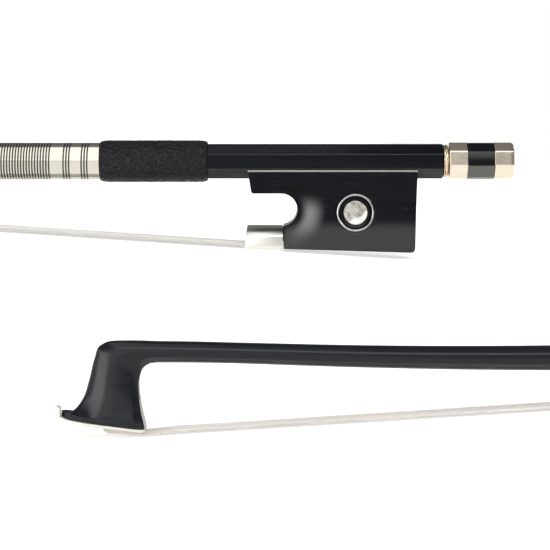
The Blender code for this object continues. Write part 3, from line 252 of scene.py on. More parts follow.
# Button
BUTTON_ACROSS_FLATS = 9.4 * MM
BUTTON_TURN = math.radians(10.0)
BUTTON_EDGE_EASE = 0.99

# Profiles of the button's pieces, in millimetres: place behind the stick's end, and how far the
# outline is drawn in there
FRONT_RING = (
    (1.55, 1.3), (1.56, 0.25), (1.6, 0.12), (1.68, 0.03), (1.8, 0.0), (1.85, 0.0),
    (6.24, 0.0), (6.28, 0.0), (6.34, 0.05), (6.35, 0.2),
)
CORE = ((6.35, 0.3), (6.38, 0.1), (6.42, 0.08), (6.46, 0.08), (13.38, 0.08), (13.43, 0.08), (13.47, 0.1), (13.5, 0.3))
REAR_RING = (
    (13.5, 0.2), (13.51, 0.05), (13.57, 0.0), (13.61, 0.0), (17.68, 0.0), (17.72, 0.0),
    (18.15, 0.1), (18.45, 0.3), (18.68, 0.65), (18.8, 1.2),
)
COLLAR = (
    (0.15, 2.4), (0.15, 4.05), (0.2, 4.22), (0.3, 4.3), (0.4, 4.3), (0.48, 4.2), (0.55, 4.18),
    (0.62, 4.25), (0.75, 4.34), (0.95, 4.35), (1.15, 4.3), (1.28, 4.18), (1.36, 3.95), (1.4, 3.6), (1.4, 2.4),
)

# Camera and the two views of the photograph
PHOTO_PIXELS = 550
PIXELS_PER_METRE = 3750.0
HANDLE_END_PIXEL = (441.2, 161.4)
HEAD_FRAME_PIXEL = (149.1, 432.5)
CAMERA_DISTANCE = 450.0 * MM
CAMERA_ELEVATION = math.radians(5.0)
PORTAL_DISTANCE = 2.0 * MM
PORTAL_TOP_PIXEL = 300
PORTAL_MARGIN = 1.02


def new_object(name, data):
    obj = bpy.data.objects.new(name, data)
    bpy.context.scene.collection.objects.link(obj)
    return obj


# Node helpers


def new_material(name):
    material = bpy.data.materials.new(name)
    material.use_nodes = True
    return material, material.node_tree, material.node_tree.nodes["Principled BSDF"]


def add_node(tree, kind, inputs=None, **settings):
    """A new node with its settings, and with each input set or linked."""
    node = tree.nodes.new(kind)
    for name, value in settings.items():
        setattr(node, name, value)
    for key, value in (inputs or {}).items():
        if isinstance(value, bpy.types.NodeSocket):
            tree.links.new(value, node.inputs[key])
        else:
            node.inputs[key].default_value = value
    return node


def math_node(tree, operation, first, second=0.0):
    return add_node(tree, "ShaderNodeMath", {0: first, 1: second}, operation=operation).outputs[0]


def object_place(tree, scale=(1.0, 1.0, 1.0)):
    """The place on the piece, stretched by a scale, for a texture to follow."""
    place = add_node(tree, "ShaderNodeTexCoord").outputs["Object"]
    return add_node(tree, "ShaderNodeMapping", {"Vector": place, "Scale": scale}).outputs["Vector"]


def noise(tree, place, scale, detail=3.0, roughness=0.5):
    settings = {"Vector": place, "Scale": scale, "Detail": detail, "Roughness": roughness}
    return add_node(tree, "ShaderNodeTexNoise", settings).outputs["Fac"]


def color_mix(tree, share, first, second):
    mix = add_node(tree, "ShaderNodeMix", data_type="RGBA")
    if isinstance(share, bpy.types.NodeSocket):
        tree.links.new(share, mix.inputs["Factor"])
    else:
        mix.inputs["Factor"].default_value = share
    for socket, value in ((mix.inputs[6], first), (mix.inputs[7], second)):
        if isinstance(value, bpy.types.NodeSocket):
            tree.links.new(value, socket)
        else:
            socket.default_value = (*value, 1.0)
    return mix.outputs[2]


def remap(tree, value, low, high, new_low, new_high, smooth=False):
    kind = "SMOOTHSTEP" if smooth else "LINEAR"
    inputs = {"Value": value, "From Min": low, "From Max": high, "To Min": new_low, "To Max": new_high}
    return add_node(tree, "ShaderNodeMapRange", inputs, interpolation_type=kind).outputs["Result"]


def product(tree, first, *others):
    for other in others:
        first = math_node(tree, "MULTIPLY", first, other)
    return first


def total(tree, first, *others):
    for other in others:
        first = math_node(tree, "ADD", first, other)
    return first


def bump(tree, height, strength, distance):
    inputs = {"Height": height, "Strength": strength, "Distance": distance}
    return add_node(tree, "ShaderNodeBump", inputs).outputs["Normal"]


# Materials


def black_varnish():
    """Black varnish with a faint grain. It is polished at the head and duller on the handle. Faces that look down are
    painted a lighter grey, a painted reflection of the bright floor, and the handle's upper side ridges carry a
    painted highlight line.
    """
    material, tree, shader = new_material("stick_black")
    grain = noise(tree, object_place(tree, (18.0, 900.0, 900.0)), 1.0, 4.0)
    patches = noise(tree, object_place(tree, (60.0, 160.0, 160.0)), 1.0, 2.0)
    surface = add_node(tree, "ShaderNodeTexCoord").outputs
    along = add_node(tree, "ShaderNodeSeparateXYZ", {0: surface["Object"]}).outputs["X"]
    upright = add_node(tree, "ShaderNodeSeparateXYZ", {0: surface["Normal"]}).outputs["Z"]
    handled = remap(tree, along, 0.1, 0.2, 0.0, 1.0, True)
    # Painted reflection: faces that look down are painted lighter grey, as the bright floor below would light them,
    # at full strength on the handle and half strength beyond it
    underneath = remap(tree, upright, -0.3, -0.5, 0.0, 1.0, True)
    color = color_mix(tree, remap(tree, grain, 0.35, 0.7, 0.0, 1.0), (0.003, 0.0035, 0.006), (0.007, 0.008, 0.012))
    floor_sheen_strength = remap(tree, handled, 0.0, 1.0, 0.5, 1.0)
    color = color_mix(tree, product(tree, floor_sheen_strength, underneath, patches), color, (0.1, 0.103, 0.107))
    _, _, up = handle_coordinates(tree)
    # Painted highlight: a thin bluish-grey line on the handle at 1.6 to 2.1 mm above its axis, along the upper side
    # ridges
    ridge = product(
        tree,
        handled,
        remap(tree, up, 1.6 * MM, 1.8 * MM, 0.0, 1.0, True),
        remap(tree, up, 2.1 * MM, 1.9 * MM, 0.0, 1.0, True),
    )
    color = color_mix(tree, ridge, color, (0.024, 0.029, 0.033))
    tree.links.new(color, shader.inputs["Base Color"])
    tree.links.new(remap(tree, patches, 0.3, 0.7, 0.2, 0.28), shader.inputs["Roughness"])
    tree.links.new(remap(tree, handled, 0.0, 1.0, 0.31, 0.1), shader.inputs["Specular IOR Level"])
    tree.links.new(bump(tree, grain, 0.15, 0.00002), shader.inputs["Normal"])
    return material


def handle_coordinates(tree):
    """The place on the piece in the handle frame: along it towards the button, across and up."""
    place = add_node(tree, "ShaderNodeTexCoord").outputs["Object"]
    settings = {"Vector": place, "Location": BOW_PLACE, "Rotation": (0.0, -HANDLE_TILT, 0.0)}
    local = add_node(tree, "ShaderNodeMapping", settings, vector_type="TEXTURE").outputs["Vector"]
    parts = add_node(tree, "ShaderNodeSeparateXYZ", {0: local}).outputs
    return local, parts["X"], parts["Z"]


def ebony():
    """Oiled ebony: near black, with fine pores. Low on the cheeks it is painted lighter grey, a painted reflection of
    the bright floor, and behind the throat it carries a painted crescent highlight.
    """
    material, tree, shader = new_material("ebony")
    grain = noise(tree, object_place(tree, (90.0, 1500.0, 1500.0)), 1.0, 4.0, 0.6)
    pores = remap(tree, noise(tree, object_place(tree, (300.0, 3500.0, 3500.0)), 1.0, 2.0), 0.6, 0.72, 0.0, 1.0)
    color = color_mix(tree, remap(tree, grain, 0.35, 0.7, 0.0, 1.0), (0.002, 0.002, 0.004), (0.004, 0.004, 0.007))
    color = color_mix(tree, pores, color, (0.012, 0.011, 0.013))
    local, along, up = handle_coordinates(tree)
    # Painted reflection: the lower cheek is painted lighter grey, as light from the floor below would make it
    low = remap(tree, up, FROG_SHEEN_TOP, FROG_SHEEN_BOTTOM, 0.0, 1.0, True)
    throat = (SCOOP_PLACE[0], 0.0, SCOOP_PLACE[1])
    flat = add_node(tree, "ShaderNodeVectorMath", {0: local, 1: (1.0, 0.0, 1.0)}, operation="MULTIPLY").outputs[0]
    reach = add_node(tree, "ShaderNodeVectorMath", {0: flat, 1: throat}, operation="DISTANCE").outputs["Value"]
    # Painted highlight: a lighter grey crescent on the cheek behind and below the throat, where the scoop would catch
    # the lamp
    throat_highlight = product(
        tree,
        remap(tree, reach, 5.3 * MM, 7.8 * MM, 0.0, 1.0, True),
        remap(tree, reach, 12.3 * MM, 7.9 * MM, 0.0, 1.0, True),
        remap(tree, along, SCOOP_PLACE[0], SCOOP_PLACE[0] + 6.0 * MM, 0.0, 1.0, True),
        remap(tree, up, SCOOP_PLACE[1] + 4.5 * MM, SCOOP_PLACE[1] - 1.0 * MM, 0.0, 1.0, True),
        remap(tree, up, SCOOP_PLACE[1] - 3.0 * MM, SCOOP_PLACE[1] - 8.0 * MM, 1.0, 0.2, True),
    )
    # Colour of the painted reflection low on the cheek, then of the painted highlight at the throat
    color = color_mix(tree, low, color, (0.045, 0.044, 0.045))
    color = color_mix(tree, throat_highlight, color, (0.18, 0.18, 0.185))
    tree.links.new(color, shader.inputs["Base Color"])
    tree.links.new(remap(tree, grain, 0.3, 0.7, 0.26, 0.36), shader.inputs["Roughness"])
    tree.links.new(bump(tree, grain, 0.2, 0.00002), shader.inputs["Normal"])
    shader.inputs["Specular IOR Level"].default_value = 0.1
    return material


def metal(name, color, roughness, scratches=0.06):
    """Polished metal with faint uneven rubbing."""
    material, tree, shader = new_material(name)
    rubbing = noise(tree, object_place(tree, (400.0, 400.0, 1600.0)), 1.0, 3.0)
    darker = tuple(part * 0.9 for part in color)
    tree.links.new(color_mix(tree, rubbing, color, darker), shader.inputs["Base Color"])
    tree.links.new(
        remap(tree, rubbing, 0.3, 0.7, roughness, roughness + scratches), shader.inputs["Roughness"]
    )
    shader.inputs["Metallic"].default_value = 1.0
    return material


def winding_silver():
    """Flat silver wire, wound in close turns, a little tarnished in patches."""
    material, tree, shader = new_material("silver_winding")
    tint = noise(tree, object_place(tree, (250.0, 120.0, 120.0)), 1.0, 2.0)
    tree.links.new(color_mix(tree, tint, (0.66, 0.63, 0.56), (0.58, 0.54, 0.46)), shader.inputs["Base Color"])
    shader.inputs["Metallic"].default_value = 1.0
    shader.inputs["Roughness"].default_value = 0.16
    return material


def black_thread():
    """Black silk, which has a soft shine."""
    material, tree, shader = new_material("black_thread")
    fibre = noise(tree, object_place(tree, (3000.0, 3000.0, 3000.0)), 1.0, 2.0)
    tree.links.new(color_mix(tree, fibre, (0.004, 0.004, 0.006), (0.012, 0.012, 0.014)), shader.inputs["Base Color"])
    shader.inputs["Roughness"].default_value = 0.25
    shader.inputs["Specular IOR Level"].default_value = 0.8
    return material


def pebbled_leather():
    """Black leather with a fine, uneven pebble."""
    material, tree, shader = new_material("leather")
    bent = noise(tree, object_place(tree), 900.0, 3.0)
    place = object_place(tree, (1300.0, 1900.0, 1900.0))
    shifted = add_node(tree, "ShaderNodeVectorMath", {0: place, 1: bent}, operation="ADD").outputs[0]
    cells = add_node(
        tree, "ShaderNodeTexVoronoi", {"Vector": shifted, "Scale": 1.0}, feature="SMOOTH_F1"
    ).outputs["Distance"]
    folds = noise(tree, object_place(tree, (260.0, 420.0, 420.0)), 1.0, 5.0, 0.65)
    height = math_node(tree, "ADD", remap(tree, cells, 0.0, 0.9, 1.0, 0.0), folds)
    color = color_mix(tree, remap(tree, cells, 0.2, 0.8, 0.0, 1.0), (0.005, 0.005, 0.007), (0.002, 0.002, 0.003))
    tree.links.new(color, shader.inputs["Base Color"])
    tree.links.new(remap(tree, folds, 0.3, 0.7, 0.32, 0.48), shader.inputs["Roughness"])
    tree.links.new(bump(tree, height, 1.0, 0.0006), shader.inputs["Normal"])
    shader.inputs["Specular IOR Level"].default_value = 0.26
    return material


def ivory():
    """Cream white tip plate material, smooth, with a faint grain."""
    material, tree, shader = new_material("ivory_white")
    grain = noise(tree, object_place(tree, (120.0, 900.0, 900.0)), 1.0, 3.0)
    tree.links.new(color_mix(tree, grain, (0.84, 0.83, 0.76), (0.79, 0.77, 0.68)), shader.inputs["Base Color"])
    shader.inputs["Roughness"].default_value = 0.35
    shader.inputs["Subsurface Weight"].default_value = 0.2
    shader.inputs["Subsurface Radius"].default_value = (0.002, 0.0015, 0.001)
    return material


def mother_of_pearl(name, has_wedge=False):
    """Grey-cream pearl with milky patches and growth lines. The eyes also have one bright sector."""
    material, tree, shader = new_material(name)
    place = object_place(tree)
    clouds = noise(tree, place, 420.0, 3.0, 0.55)
    lines = add_node(
        tree,
        "ShaderNodeTexWave",
        {"Vector": place, "Scale": 260.0, "Distortion": 9.0, "Detail": 3.0, "Detail Scale": 1.5},
        wave_type="BANDS",
        bands_direction="DIAGONAL",
    ).outputs["Fac"]
    color = color_mix(tree, remap(tree, clouds, 0.4, 0.62, 0.0, 1.0, True), (0.24, 0.23, 0.19), (0.46, 0.45, 0.39))
    color = color_mix(tree, remap(tree, lines, 0.6, 0.95, 0.0, 0.35), color, (0.7, 0.7, 0.66))
    if has_wedge:
        _, along, up = handle_coordinates(tree)
        right = math_node(tree, "ADD", along, EYE_ALONG)
        down = math_node(tree, "SUBTRACT", EYE_HEIGHT, up)
        corner = math_node(tree, "ADD", math_node(tree, "MULTIPLY", right, 0.53), math_node(tree, "MULTIPLY", down, 0.85))
        corner = math_node(tree, "ADD", corner, remap(tree, clouds, 0.3, 0.7, -0.4 * MM, 0.4 * MM))
        color = color_mix(tree, remap(tree, corner, 0.9 * MM, 1.6 * MM, 0.0, 0.9, True), color, (0.88, 0.88, 0.85))
    tree.links.new(color, shader.inputs["Base Color"])
    shader.inputs["Roughness"].default_value = 0.22
    shader.inputs["Coat Weight"].default_value = 0.6
    shader.inputs["Coat Roughness"].default_value = 0.08
    return material


def horsehair():
    """Unbleached white horsehair, streaked from strand to strand."""
    material, tree, shader = new_material("horsehair")
    streaks = noise(tree, object_place(tree, (12.0, 5200.0, 5200.0)), 1.0, 3.0)
    streaks = remap(tree, streaks, 0.35, 0.65, 0.0, 1.0)
    place = add_node(tree, "ShaderNodeTexCoord").outputs["Object"]
    along = add_node(tree, "ShaderNodeSeparateXYZ", {0: place}).outputs["X"]
    grey = color_mix(tree, streaks, (0.78, 0.76, 0.69), (0.92, 0.91, 0.86))
    beige = color_mix(tree, streaks, (0.92, 0.83, 0.74), (0.98, 0.94, 0.88))
    color = color_mix(tree, remap(tree, along, -0.2, 0.2, 0.0, 1.0, True), beige, grey)
    tree.links.new(color, shader.inputs["Base Color"])
    shader.inputs["Roughness"].default_value = 0.45
    shader.inputs["Subsurface Weight"].default_value = 0.5
    shader.inputs["Subsurface Radius"].default_value = (0.002, 0.002, 0.0018)
    return material


def button_black():
    """The button's black middle, polished. Facets that look down are painted a lighter grey, a painted reflection of
    the floor; the side facets carry a painted sheen that grows lighter upwards.
    """
    material, tree, shader = new_material("button_black")
    _, _, up = handle_coordinates(tree)
    surface = add_node(tree, "ShaderNodeTexCoord").outputs
    upright = add_node(tree, "ShaderNodeSeparateXYZ", {0: surface["Normal"]}).outputs["Z"]
    # Painted reflection of the bright floor on the facets that look down, varied by noise
    sheen_noise = noise(tree, object_place(tree, (200.0, 500.0, 500.0)), 1.0, 3.0)
    floor_reflection = color_mix(tree, sheen_noise, (0.13, 0.135, 0.115), (0.18, 0.18, 0.165))
    # Painted sheen: the side facets grow lighter from the axis up to 2.2 mm above it
    middle = color_mix(tree, remap(tree, up, 0.0, 2.2 * MM, 0.0, 1.0, True), (0.004, 0.004, 0.004), (0.055, 0.055, 0.058))
    color = color_mix(tree, remap(tree, upright, -0.45, -0.2, 0.0, 1.0), floor_reflection, middle)
    # Facets that look up are painted near black, darker than the painted sheen on the side facets
    color = color_mix(tree, remap(tree, upright, 0.35, 0.6, 0.0, 1.0), color, (0.003, 0.003, 0.005))
    tree.links.new(color, shader.inputs["Base Color"])
    shader.inputs["Roughness"].default_value = 0.25
    shader.inputs["Specular IOR Level"].default_value = 0.15
    return material


def raw_maple():
    material, tree, shader = new_material("maple")
    grain = noise(tree, object_place(tree, (200.0, 2000.0, 2000.0)), 1.0, 3.0)
    tree.links.new(color_mix(tree, grain, (0.62, 0.45, 0.27), (0.48, 0.33, 0.18)), shader.inputs["Base Color"])
    shader.inputs["Roughness"].default_value = 0.6
    return material


MATERIALS = {
    "stick_black": black_varnish(),
    "ebony": ebony(),
    "ivory_white": ivory(),
    "horsehair": horsehair(),
    "silver_winding": winding_silver(),
    "black_thread": black_thread(),
    "leather": pebbled_leather(),
    "nickel_silver": metal("nickel_silver", (0.80, 0.78, 0.72), 0.18),
    "pearl": mother_of_pearl("pearl"),
    "brass": metal("brass", (0.74, 0.60, 0.42), 0.2),
    "steel": metal("steel", (0.55, 0.55, 0.56), 0.3),
    "maple": raw_maple(),
}
WARM_NICKEL = metal("warm_nickel", (0.80, 0.71, 0.58), 0.16)
DULL_NICKEL = metal("dull_nickel", (0.38, 0.37, 0.37), 0.2)
FERRULE_SILVER = metal("ferrule_silver", (0.75, 0.73, 0.68), 0.3)
BUTTON_BLACK = button_black()
TARNISHED = metal("tarnished", (0.40, 0.38, 0.33), 0.35)
EYE_PEARL = mother_of_pearl("eye_pearl", has_wedge=True)


def dress_cad_nodes():
    """Each CAD node that stays in view gets the material of its slot."""
    for row in frame["record"]["subparts"]:
        node = frame["nodes"][row["node"]]
        node.data.materials.clear()
        node.data.materials.append(MATERIALS[row["material_slot"]])
    frame["nodes"]["underslide"].data.materials[0] = TARNISHED


def finished(mesh, name, slot, smooth_angle=40.0, material=None):
    """A visible piece in the row frame, with its material and its shading."""
    piece = new_object(name, mesh)
    mesh.name = name
    mesh.materials.clear()
    mesh.materials.append(material or MATERIALS[slot])
    mesh.shade_smooth()
    mesh.set_sharp_from_angle(angle=math.radians(smooth_angle))
    return piece


def add_piece(mesh, name, slot, body, replaced, place=None, smooth_angle=40.0, material=None):
    """A visible piece that stands for a CAD node and rides on its body."""
    if place is not None:
        mesh.transform(place)
    piece = finished(mesh, name, slot, smooth_angle, material)
    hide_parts(replaced)
    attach(piece, body)
    return piece


# Mesh helpers


def mesh_from(bm):
    bmesh.ops.recalc_face_normals(bm, faces=bm.faces)
    mesh = bpy.data.meshes.new("solid")
    bm.to_mesh(mesh)
    bm.free()
    return mesh


def join_loops(bm, near, far):
    for i in range(len(near)):
        j = (i + 1) % len(near)
        bm.faces.new((near[i], near[j], far[j], far[i]))


def add_loft(bm, rings, endless=False):
    """Adds a closed solid through rings that each have the same number of points."""
    loops = [[bm.verts.new(point) for point in ring] for ring in rings]
    for near, far in zip(loops, loops[1:]):
        join_loops(bm, near, far)
    if endless:
        join_loops(bm, loops[-1], loops[0])
    else:
        bm.faces.new(loops[0])
        bm.faces.new(loops[-1])


def loft_mesh(rings, endless=False):
    bm = bmesh.new()
    add_loft(bm, rings, endless)
    return mesh_from(bm)


def turned_mesh(profile, points):
    """A round solid about the handle's axis, through (along, radius) pairs in metres."""
    angles = np.linspace(0.0, 2 * math.pi, points, endpoint=False)
    return loft_mesh([
        [Vector((along, radius * math.sin(a), radius * math.cos(a))) for a in angles]
        for along, radius in profile
    ])


def shaped(mesh, kind, **settings):
    """The mesh with one modifier applied."""
    holder = new_object("holder", mesh)
    modifier = holder.modifiers.new(kind, kind)
    for name, value in settings.items():
        setattr(modifier, name, value)
    graph = bpy.context.evaluated_depsgraph_get()
    result = bpy.data.meshes.new_from_object(holder.evaluated_get(graph))
    bpy.data.objects.remove(holder)
    return result


def combined(mesh, helper, operation="DIFFERENCE"):
    other = new_object("helper", helper)
    result = shaped(mesh, "BOOLEAN", operation=operation, solver="EXACT", object=other)
    bpy.data.objects.remove(other)
    return result


def eased(mesh, width, segments=3, angle=35.0):
    """The mesh with its edges rounded."""
    return shaped(
        mesh, "BEVEL", width=width, segments=segments, limit_method="ANGLE", angle_limit=math.radians(angle)
    )


def slab_mesh(outline, half_width, plane="XZ"):
    """A flat outline made into a slab: a filled 2D curve, extruded, then made a mesh."""
    curve = bpy.data.curves.new("outline", "CURVE")
    curve.dimensions = "2D"
    curve.fill_mode = "BOTH"
    curve.extrude = half_width
    spline = curve.splines.new("POLY")
    spline.points.add(len(outline) - 1)
    for point, (across, up) in zip(spline.points, outline):
        point.co = (across, up, 0.0, 1.0)
    spline.use_cyclic_u = True
    holder = new_object("outline", curve)
    graph = bpy.context.evaluated_depsgraph_get()
    mesh = bpy.data.meshes.new_from_object(holder.evaluated_get(graph))
    bpy.data.objects.remove(holder)
    if plane == "XZ":
        mesh.transform(Matrix.Rotation(math.pi / 2, 4, "X"))
    bm = bmesh.new()
    bm.from_mesh(mesh)
    bmesh.ops.remove_doubles(bm, verts=bm.verts, dist=1e-7)
    return mesh_from(bm)


def box_mesh(low, high):
    bm = bmesh.new()
    bmesh.ops.create_cube(bm, size=1.0)
    bmesh.ops.scale(bm, vec=[h - l for l, h in zip(low, high)], verts=bm.verts)
    bmesh.ops.translate(bm, vec=[(h + l) / 2 for l, h in zip(low, high)], verts=bm.verts)
    return mesh_from(bm)


def node_solid(name):
    """A CAD node's solid as a new mesh, without the seams and triangles of its file."""
    bm = bmesh.new()
    bm.from_mesh(frame["nodes"][name].data)
    bmesh.ops.remove_doubles(bm, verts=bm.verts, dist=1e-6)
    bmesh.ops.dissolve_limit(bm, angle_limit=math.radians(0.5), verts=bm.verts, edges=bm.edges)
    return mesh_from(bm)


def smooth_through(rows, steps):
    """Rows of numbers with more rows between them, on a smooth curve through the given ones."""
    rows = [np.array(row, float) for row in rows]
    result = []
    for i in range(len(rows) - 1):
        before, start, end, after = (rows[min(max(k, 0), len(rows) - 1)] for k in (i - 1, i, i + 1, i + 2))
        for t in np.arange(steps) / steps:
            curve = 2 * start + (end - before) * t
            curve = curve + (2 * before - 5 * start + 4 * end - after) * t**2
            curve = curve + (3 * start - before - 3 * end + after) * t**3
            result.append(curve / 2)
    return result + [rows[-1]]


def arc(centre, radius, start_degrees, end_degrees, steps):
    angles = np.radians(np.linspace(start_degrees, end_degrees, steps + 1))
    return [(centre[0] + radius * math.cos(a), centre[1] + radius * math.sin(a)) for a in angles]


def mirrored(half):
    return list(half) + [(-y, z) for y, z in reversed(half)]


def smoothstep(value):
    value = np.clip(value, 0.0, 1.0)
    return value * value * (3 - 2 * value)


# Frames


def handle_point(along, height):
    """Bow-frame X and Z of a point in the handle's middle plane, measured from the stick's end."""
    return (
        -along * math.cos(HANDLE_TILT) - height * math.sin(HANDLE_TILT),
        -along * math.sin(HANDLE_TILT) + height * math.cos(HANDLE_TILT),
    )


def head_offset(back, height):
    """Bow-frame X and Z of a head-frame point, counted from the head frame's origin."""
    return (
        back * math.cos(HEAD_TILT) + height * math.sin(HEAD_TILT),
        -back * math.sin(HEAD_TILT) + height * math.cos(HEAD_TILT),
    )


HANDLE = Matrix.Translation(BOW_PLACE) @ Matrix.Rotation(-HANDLE_TILT, 4, "Y")
HEAD_ORIGIN = BOW_PLACE + Vector((HEAD_PLACE, 0.0, HAIR_LEVEL))
HEAD = Matrix.Translation(HEAD_ORIGIN) @ Matrix.Rotation(HEAD_TILT, 4, "Y")


# Stick and head


def hermite(x, x0, y0, slope0, x1, y1, slope1):
    span = x1 - x0
    t = (x - x0) / span
    return (
        (2 * t**3 - 3 * t**2 + 1) * y0
        + (t**3 - 2 * t**2 + t) * span * slope0
        + (3 * t**2 - 2 * t**3) * y1
        + (t**3 - t**2) * span * slope1
    )


def neck_centre():
    """Head-frame place of the stick's axis where it meets the first head section."""
    front_x, front_z, back_x, back_z = (value * MM for value in HEAD_SECTIONS[0][:4])
    return (max(front_x, back_x) + NECK_LENGTH, (front_z + back_z) / 2)


def axis_height(x):
    """Height of the stick's axis in the bow frame at a given X."""
    handle_x, handle_z = handle_point(HANDLE_LENGTH, 0.0)
    low = HAIR_LEVEL + CAMBER_LOW_HEIGHT
    bend_x = HEAD_PLACE + HEAD_BEND_FROM_HEAD
    bend_z = HAIR_LEVEL + HEAD_BEND_HEIGHT
    neck_x, neck_z = head_offset(*neck_centre())
    knots = (
        (0.0, 0.0, math.tan(HANDLE_TILT)),
        (handle_x, handle_z, math.tan(HANDLE_TILT)),
        (-CAMBER_LOW_START, low, 0.0),
        (-CAMBER_LOW_END, low, 0.0),
        (bend_x, bend_z, -HEAD_BEND_SLOPE),
        (HEAD_PLACE + neck_x, HAIR_LEVEL + neck_z, -math.tan(HEAD_TILT)),
    )
    for start, end in zip(knots, knots[1:]):
        if x >= end[0]:
            break
    return hermite(x, *end, *start)


def stick_radius(along):
    places = [ROUND_START] + [place for place, _ in STICK_TAPER]
    radii = [LAPPED_RADIUS] + [radius for _, radius in STICK_TAPER]
    return float(np.interp(along, places, radii))


def ring_angles():
    """Angles round the stick, closer together at the handle's eight edges."""
    return [math.radians(45 * facet + offset) for facet in range(8) for offset in FACET_ANGLES]


def octagon_radius(angle, across_flats, ease):
    """Distance of an octagon's outline from its middle, with its corners a little rubbed off."""
    from_flat = (angle + math.pi / 8) % (math.pi / 4) - math.pi / 8
    corner = across_flats / 2 / math.cos(math.pi / 8)
    return min(across_flats / 2 / math.cos(from_flat), corner * ease)


def stick_ring(x, shrink=0.0):
    """One ring of points square to the stick's axis, octagonal on the handle and round beyond."""
    rise = axis_height(x + SLOPE_SAMPLE) - axis_height(x - SLOPE_SAMPLE)
    up = Vector((-rise / (2 * SLOPE_SAMPLE), 0, 1)).normalized()
    centre = Vector((x, 0, axis_height(x)))
    along = -x / math.cos(HANDLE_TILT)
    share = min(max((along - OCTAGON_END) / (ROUND_START - OCTAGON_END), 0.0), 1.0)
    ring = []
    for angle in ring_angles():
        octagon = octagon_radius(angle, HANDLE_ACROSS_FLATS, CORNER_EASE)
        radius = octagon * (1 - share) + stick_radius(along) * share - shrink
        ring.append(centre + up * (radius * math.cos(angle)) + Vector((0, radius * math.sin(angle), 0)))
    return ring


def head_half_width(share):
    """Half width of the head's section, from 0 at the front ridge to 1 at the back, as a share."""
    if share < HEAD_RIDGE_SHARE:
        return (1 - (1 - share / HEAD_RIDGE_SHARE) ** 2) ** HEAD_RIDGE_POWER
    if share > HEAD_BACK_SHARE:
        return 1 - (1 - HEAD_BACK_FLAT) * (share - HEAD_BACK_SHARE) / (1 - HEAD_BACK_SHARE)
    return 1.0


def head_ring(front_x, front_z, back_x, back_z, half_width, head_share):
    """One ring through the head, from its front ridge round the far cheek to the back."""
    front = Vector((front_x, front_z)) * MM
    back = Vector((back_x, back_z)) * MM
    ring = []
    for angle in ring_angles():
        share = (1 - math.cos(angle)) / 2
        round_width = math.sin(angle)
        form_width = 0.0
        if 0.001 < share < 0.999:
            form_width = math.copysign(head_half_width(share), round_width)
        width = half_width * MM * (round_width * (1 - head_share) + form_width * head_share)
        x, z = head_offset(*(front + (back - front) * share))
        ring.append(Vector((HEAD_PLACE + x, width, HAIR_LEVEL + z)))
    return ring


def stick_stations():
    handle = [END_CHAMFER, OCTAGON_END / 2, OCTAGON_END, ROUND_START, 120.0 * MM, HANDLE_LENGTH]
    places = [-along * math.cos(HANDLE_TILT) for along in handle]
    neck = HEAD_PLACE + head_offset(*neck_centre())[0]
    count = math.ceil((places[-1] - neck) / STICK_STEP)
    return places + list(np.linspace(places[-1], neck, count + 1))[1:]


def underside_height(back):
    """Height of the flat part of the head's underside at a place in the head frame."""
    rise = (UNDERSIDE_FRONT.y - UNDERSIDE_BACK.y) / (UNDERSIDE_FRONT.x - UNDERSIDE_BACK.x)
    return UNDERSIDE_BACK.y + rise * (back - UNDERSIDE_BACK.x)


def below_head():
    """The space under the head's flat and nose, which is cut off the loft."""
    flat = (UNDERSIDE_BACK - UNDERSIDE_FRONT).normalized()
    nose = (NOSE_UNDERSIDE - UNDERSIDE_FRONT).normalized()
    reach = 10.0 * MM
    rear = UNDERSIDE_BACK + flat * reach
    front = NOSE_UNDERSIDE + nose * reach
    outline = [front, UNDERSIDE_FRONT, rear, Vector((rear.x, -reach)), Vector((front.x, -reach))]
    mesh = slab_mesh([point.to_tuple() for point in outline], reach)
    mesh.transform(HEAD)
    return mesh


def head_mortise(place):
    low = (HEAD_MORTISE_FRONT, -HEAD_MORTISE_HALF_WIDTH, -HEAD_MORTISE_TOP)
    high = (HEAD_MORTISE_BACK, HEAD_MORTISE_HALF_WIDTH, HEAD_MORTISE_TOP)
    mesh = box_mesh(low, high)
    mesh.transform(place)
    return mesh


def make_stick():
    rings = [stick_ring(0.0, shrink=END_CHAMFER), stick_ring(-0.1 * MM, shrink=END_CHAMFER / 3)]
    rings += [stick_ring(x) for x in stick_stations()]
    rings += [head_ring(*section) for section in smooth_through(HEAD_SECTIONS[:-1], HEAD_STEPS_BETWEEN)]
    rings.append(head_ring(*HEAD_SECTIONS[-1]))
    mesh = loft_mesh(rings)
    mesh.transform(Matrix.Translation(BOW_PLACE))
    mesh = combined(mesh, below_head())
    mesh = combined(mesh, head_mortise(HEAD))
    add_piece(mesh, "stick_finish", "stick_black", "stick", "stick")


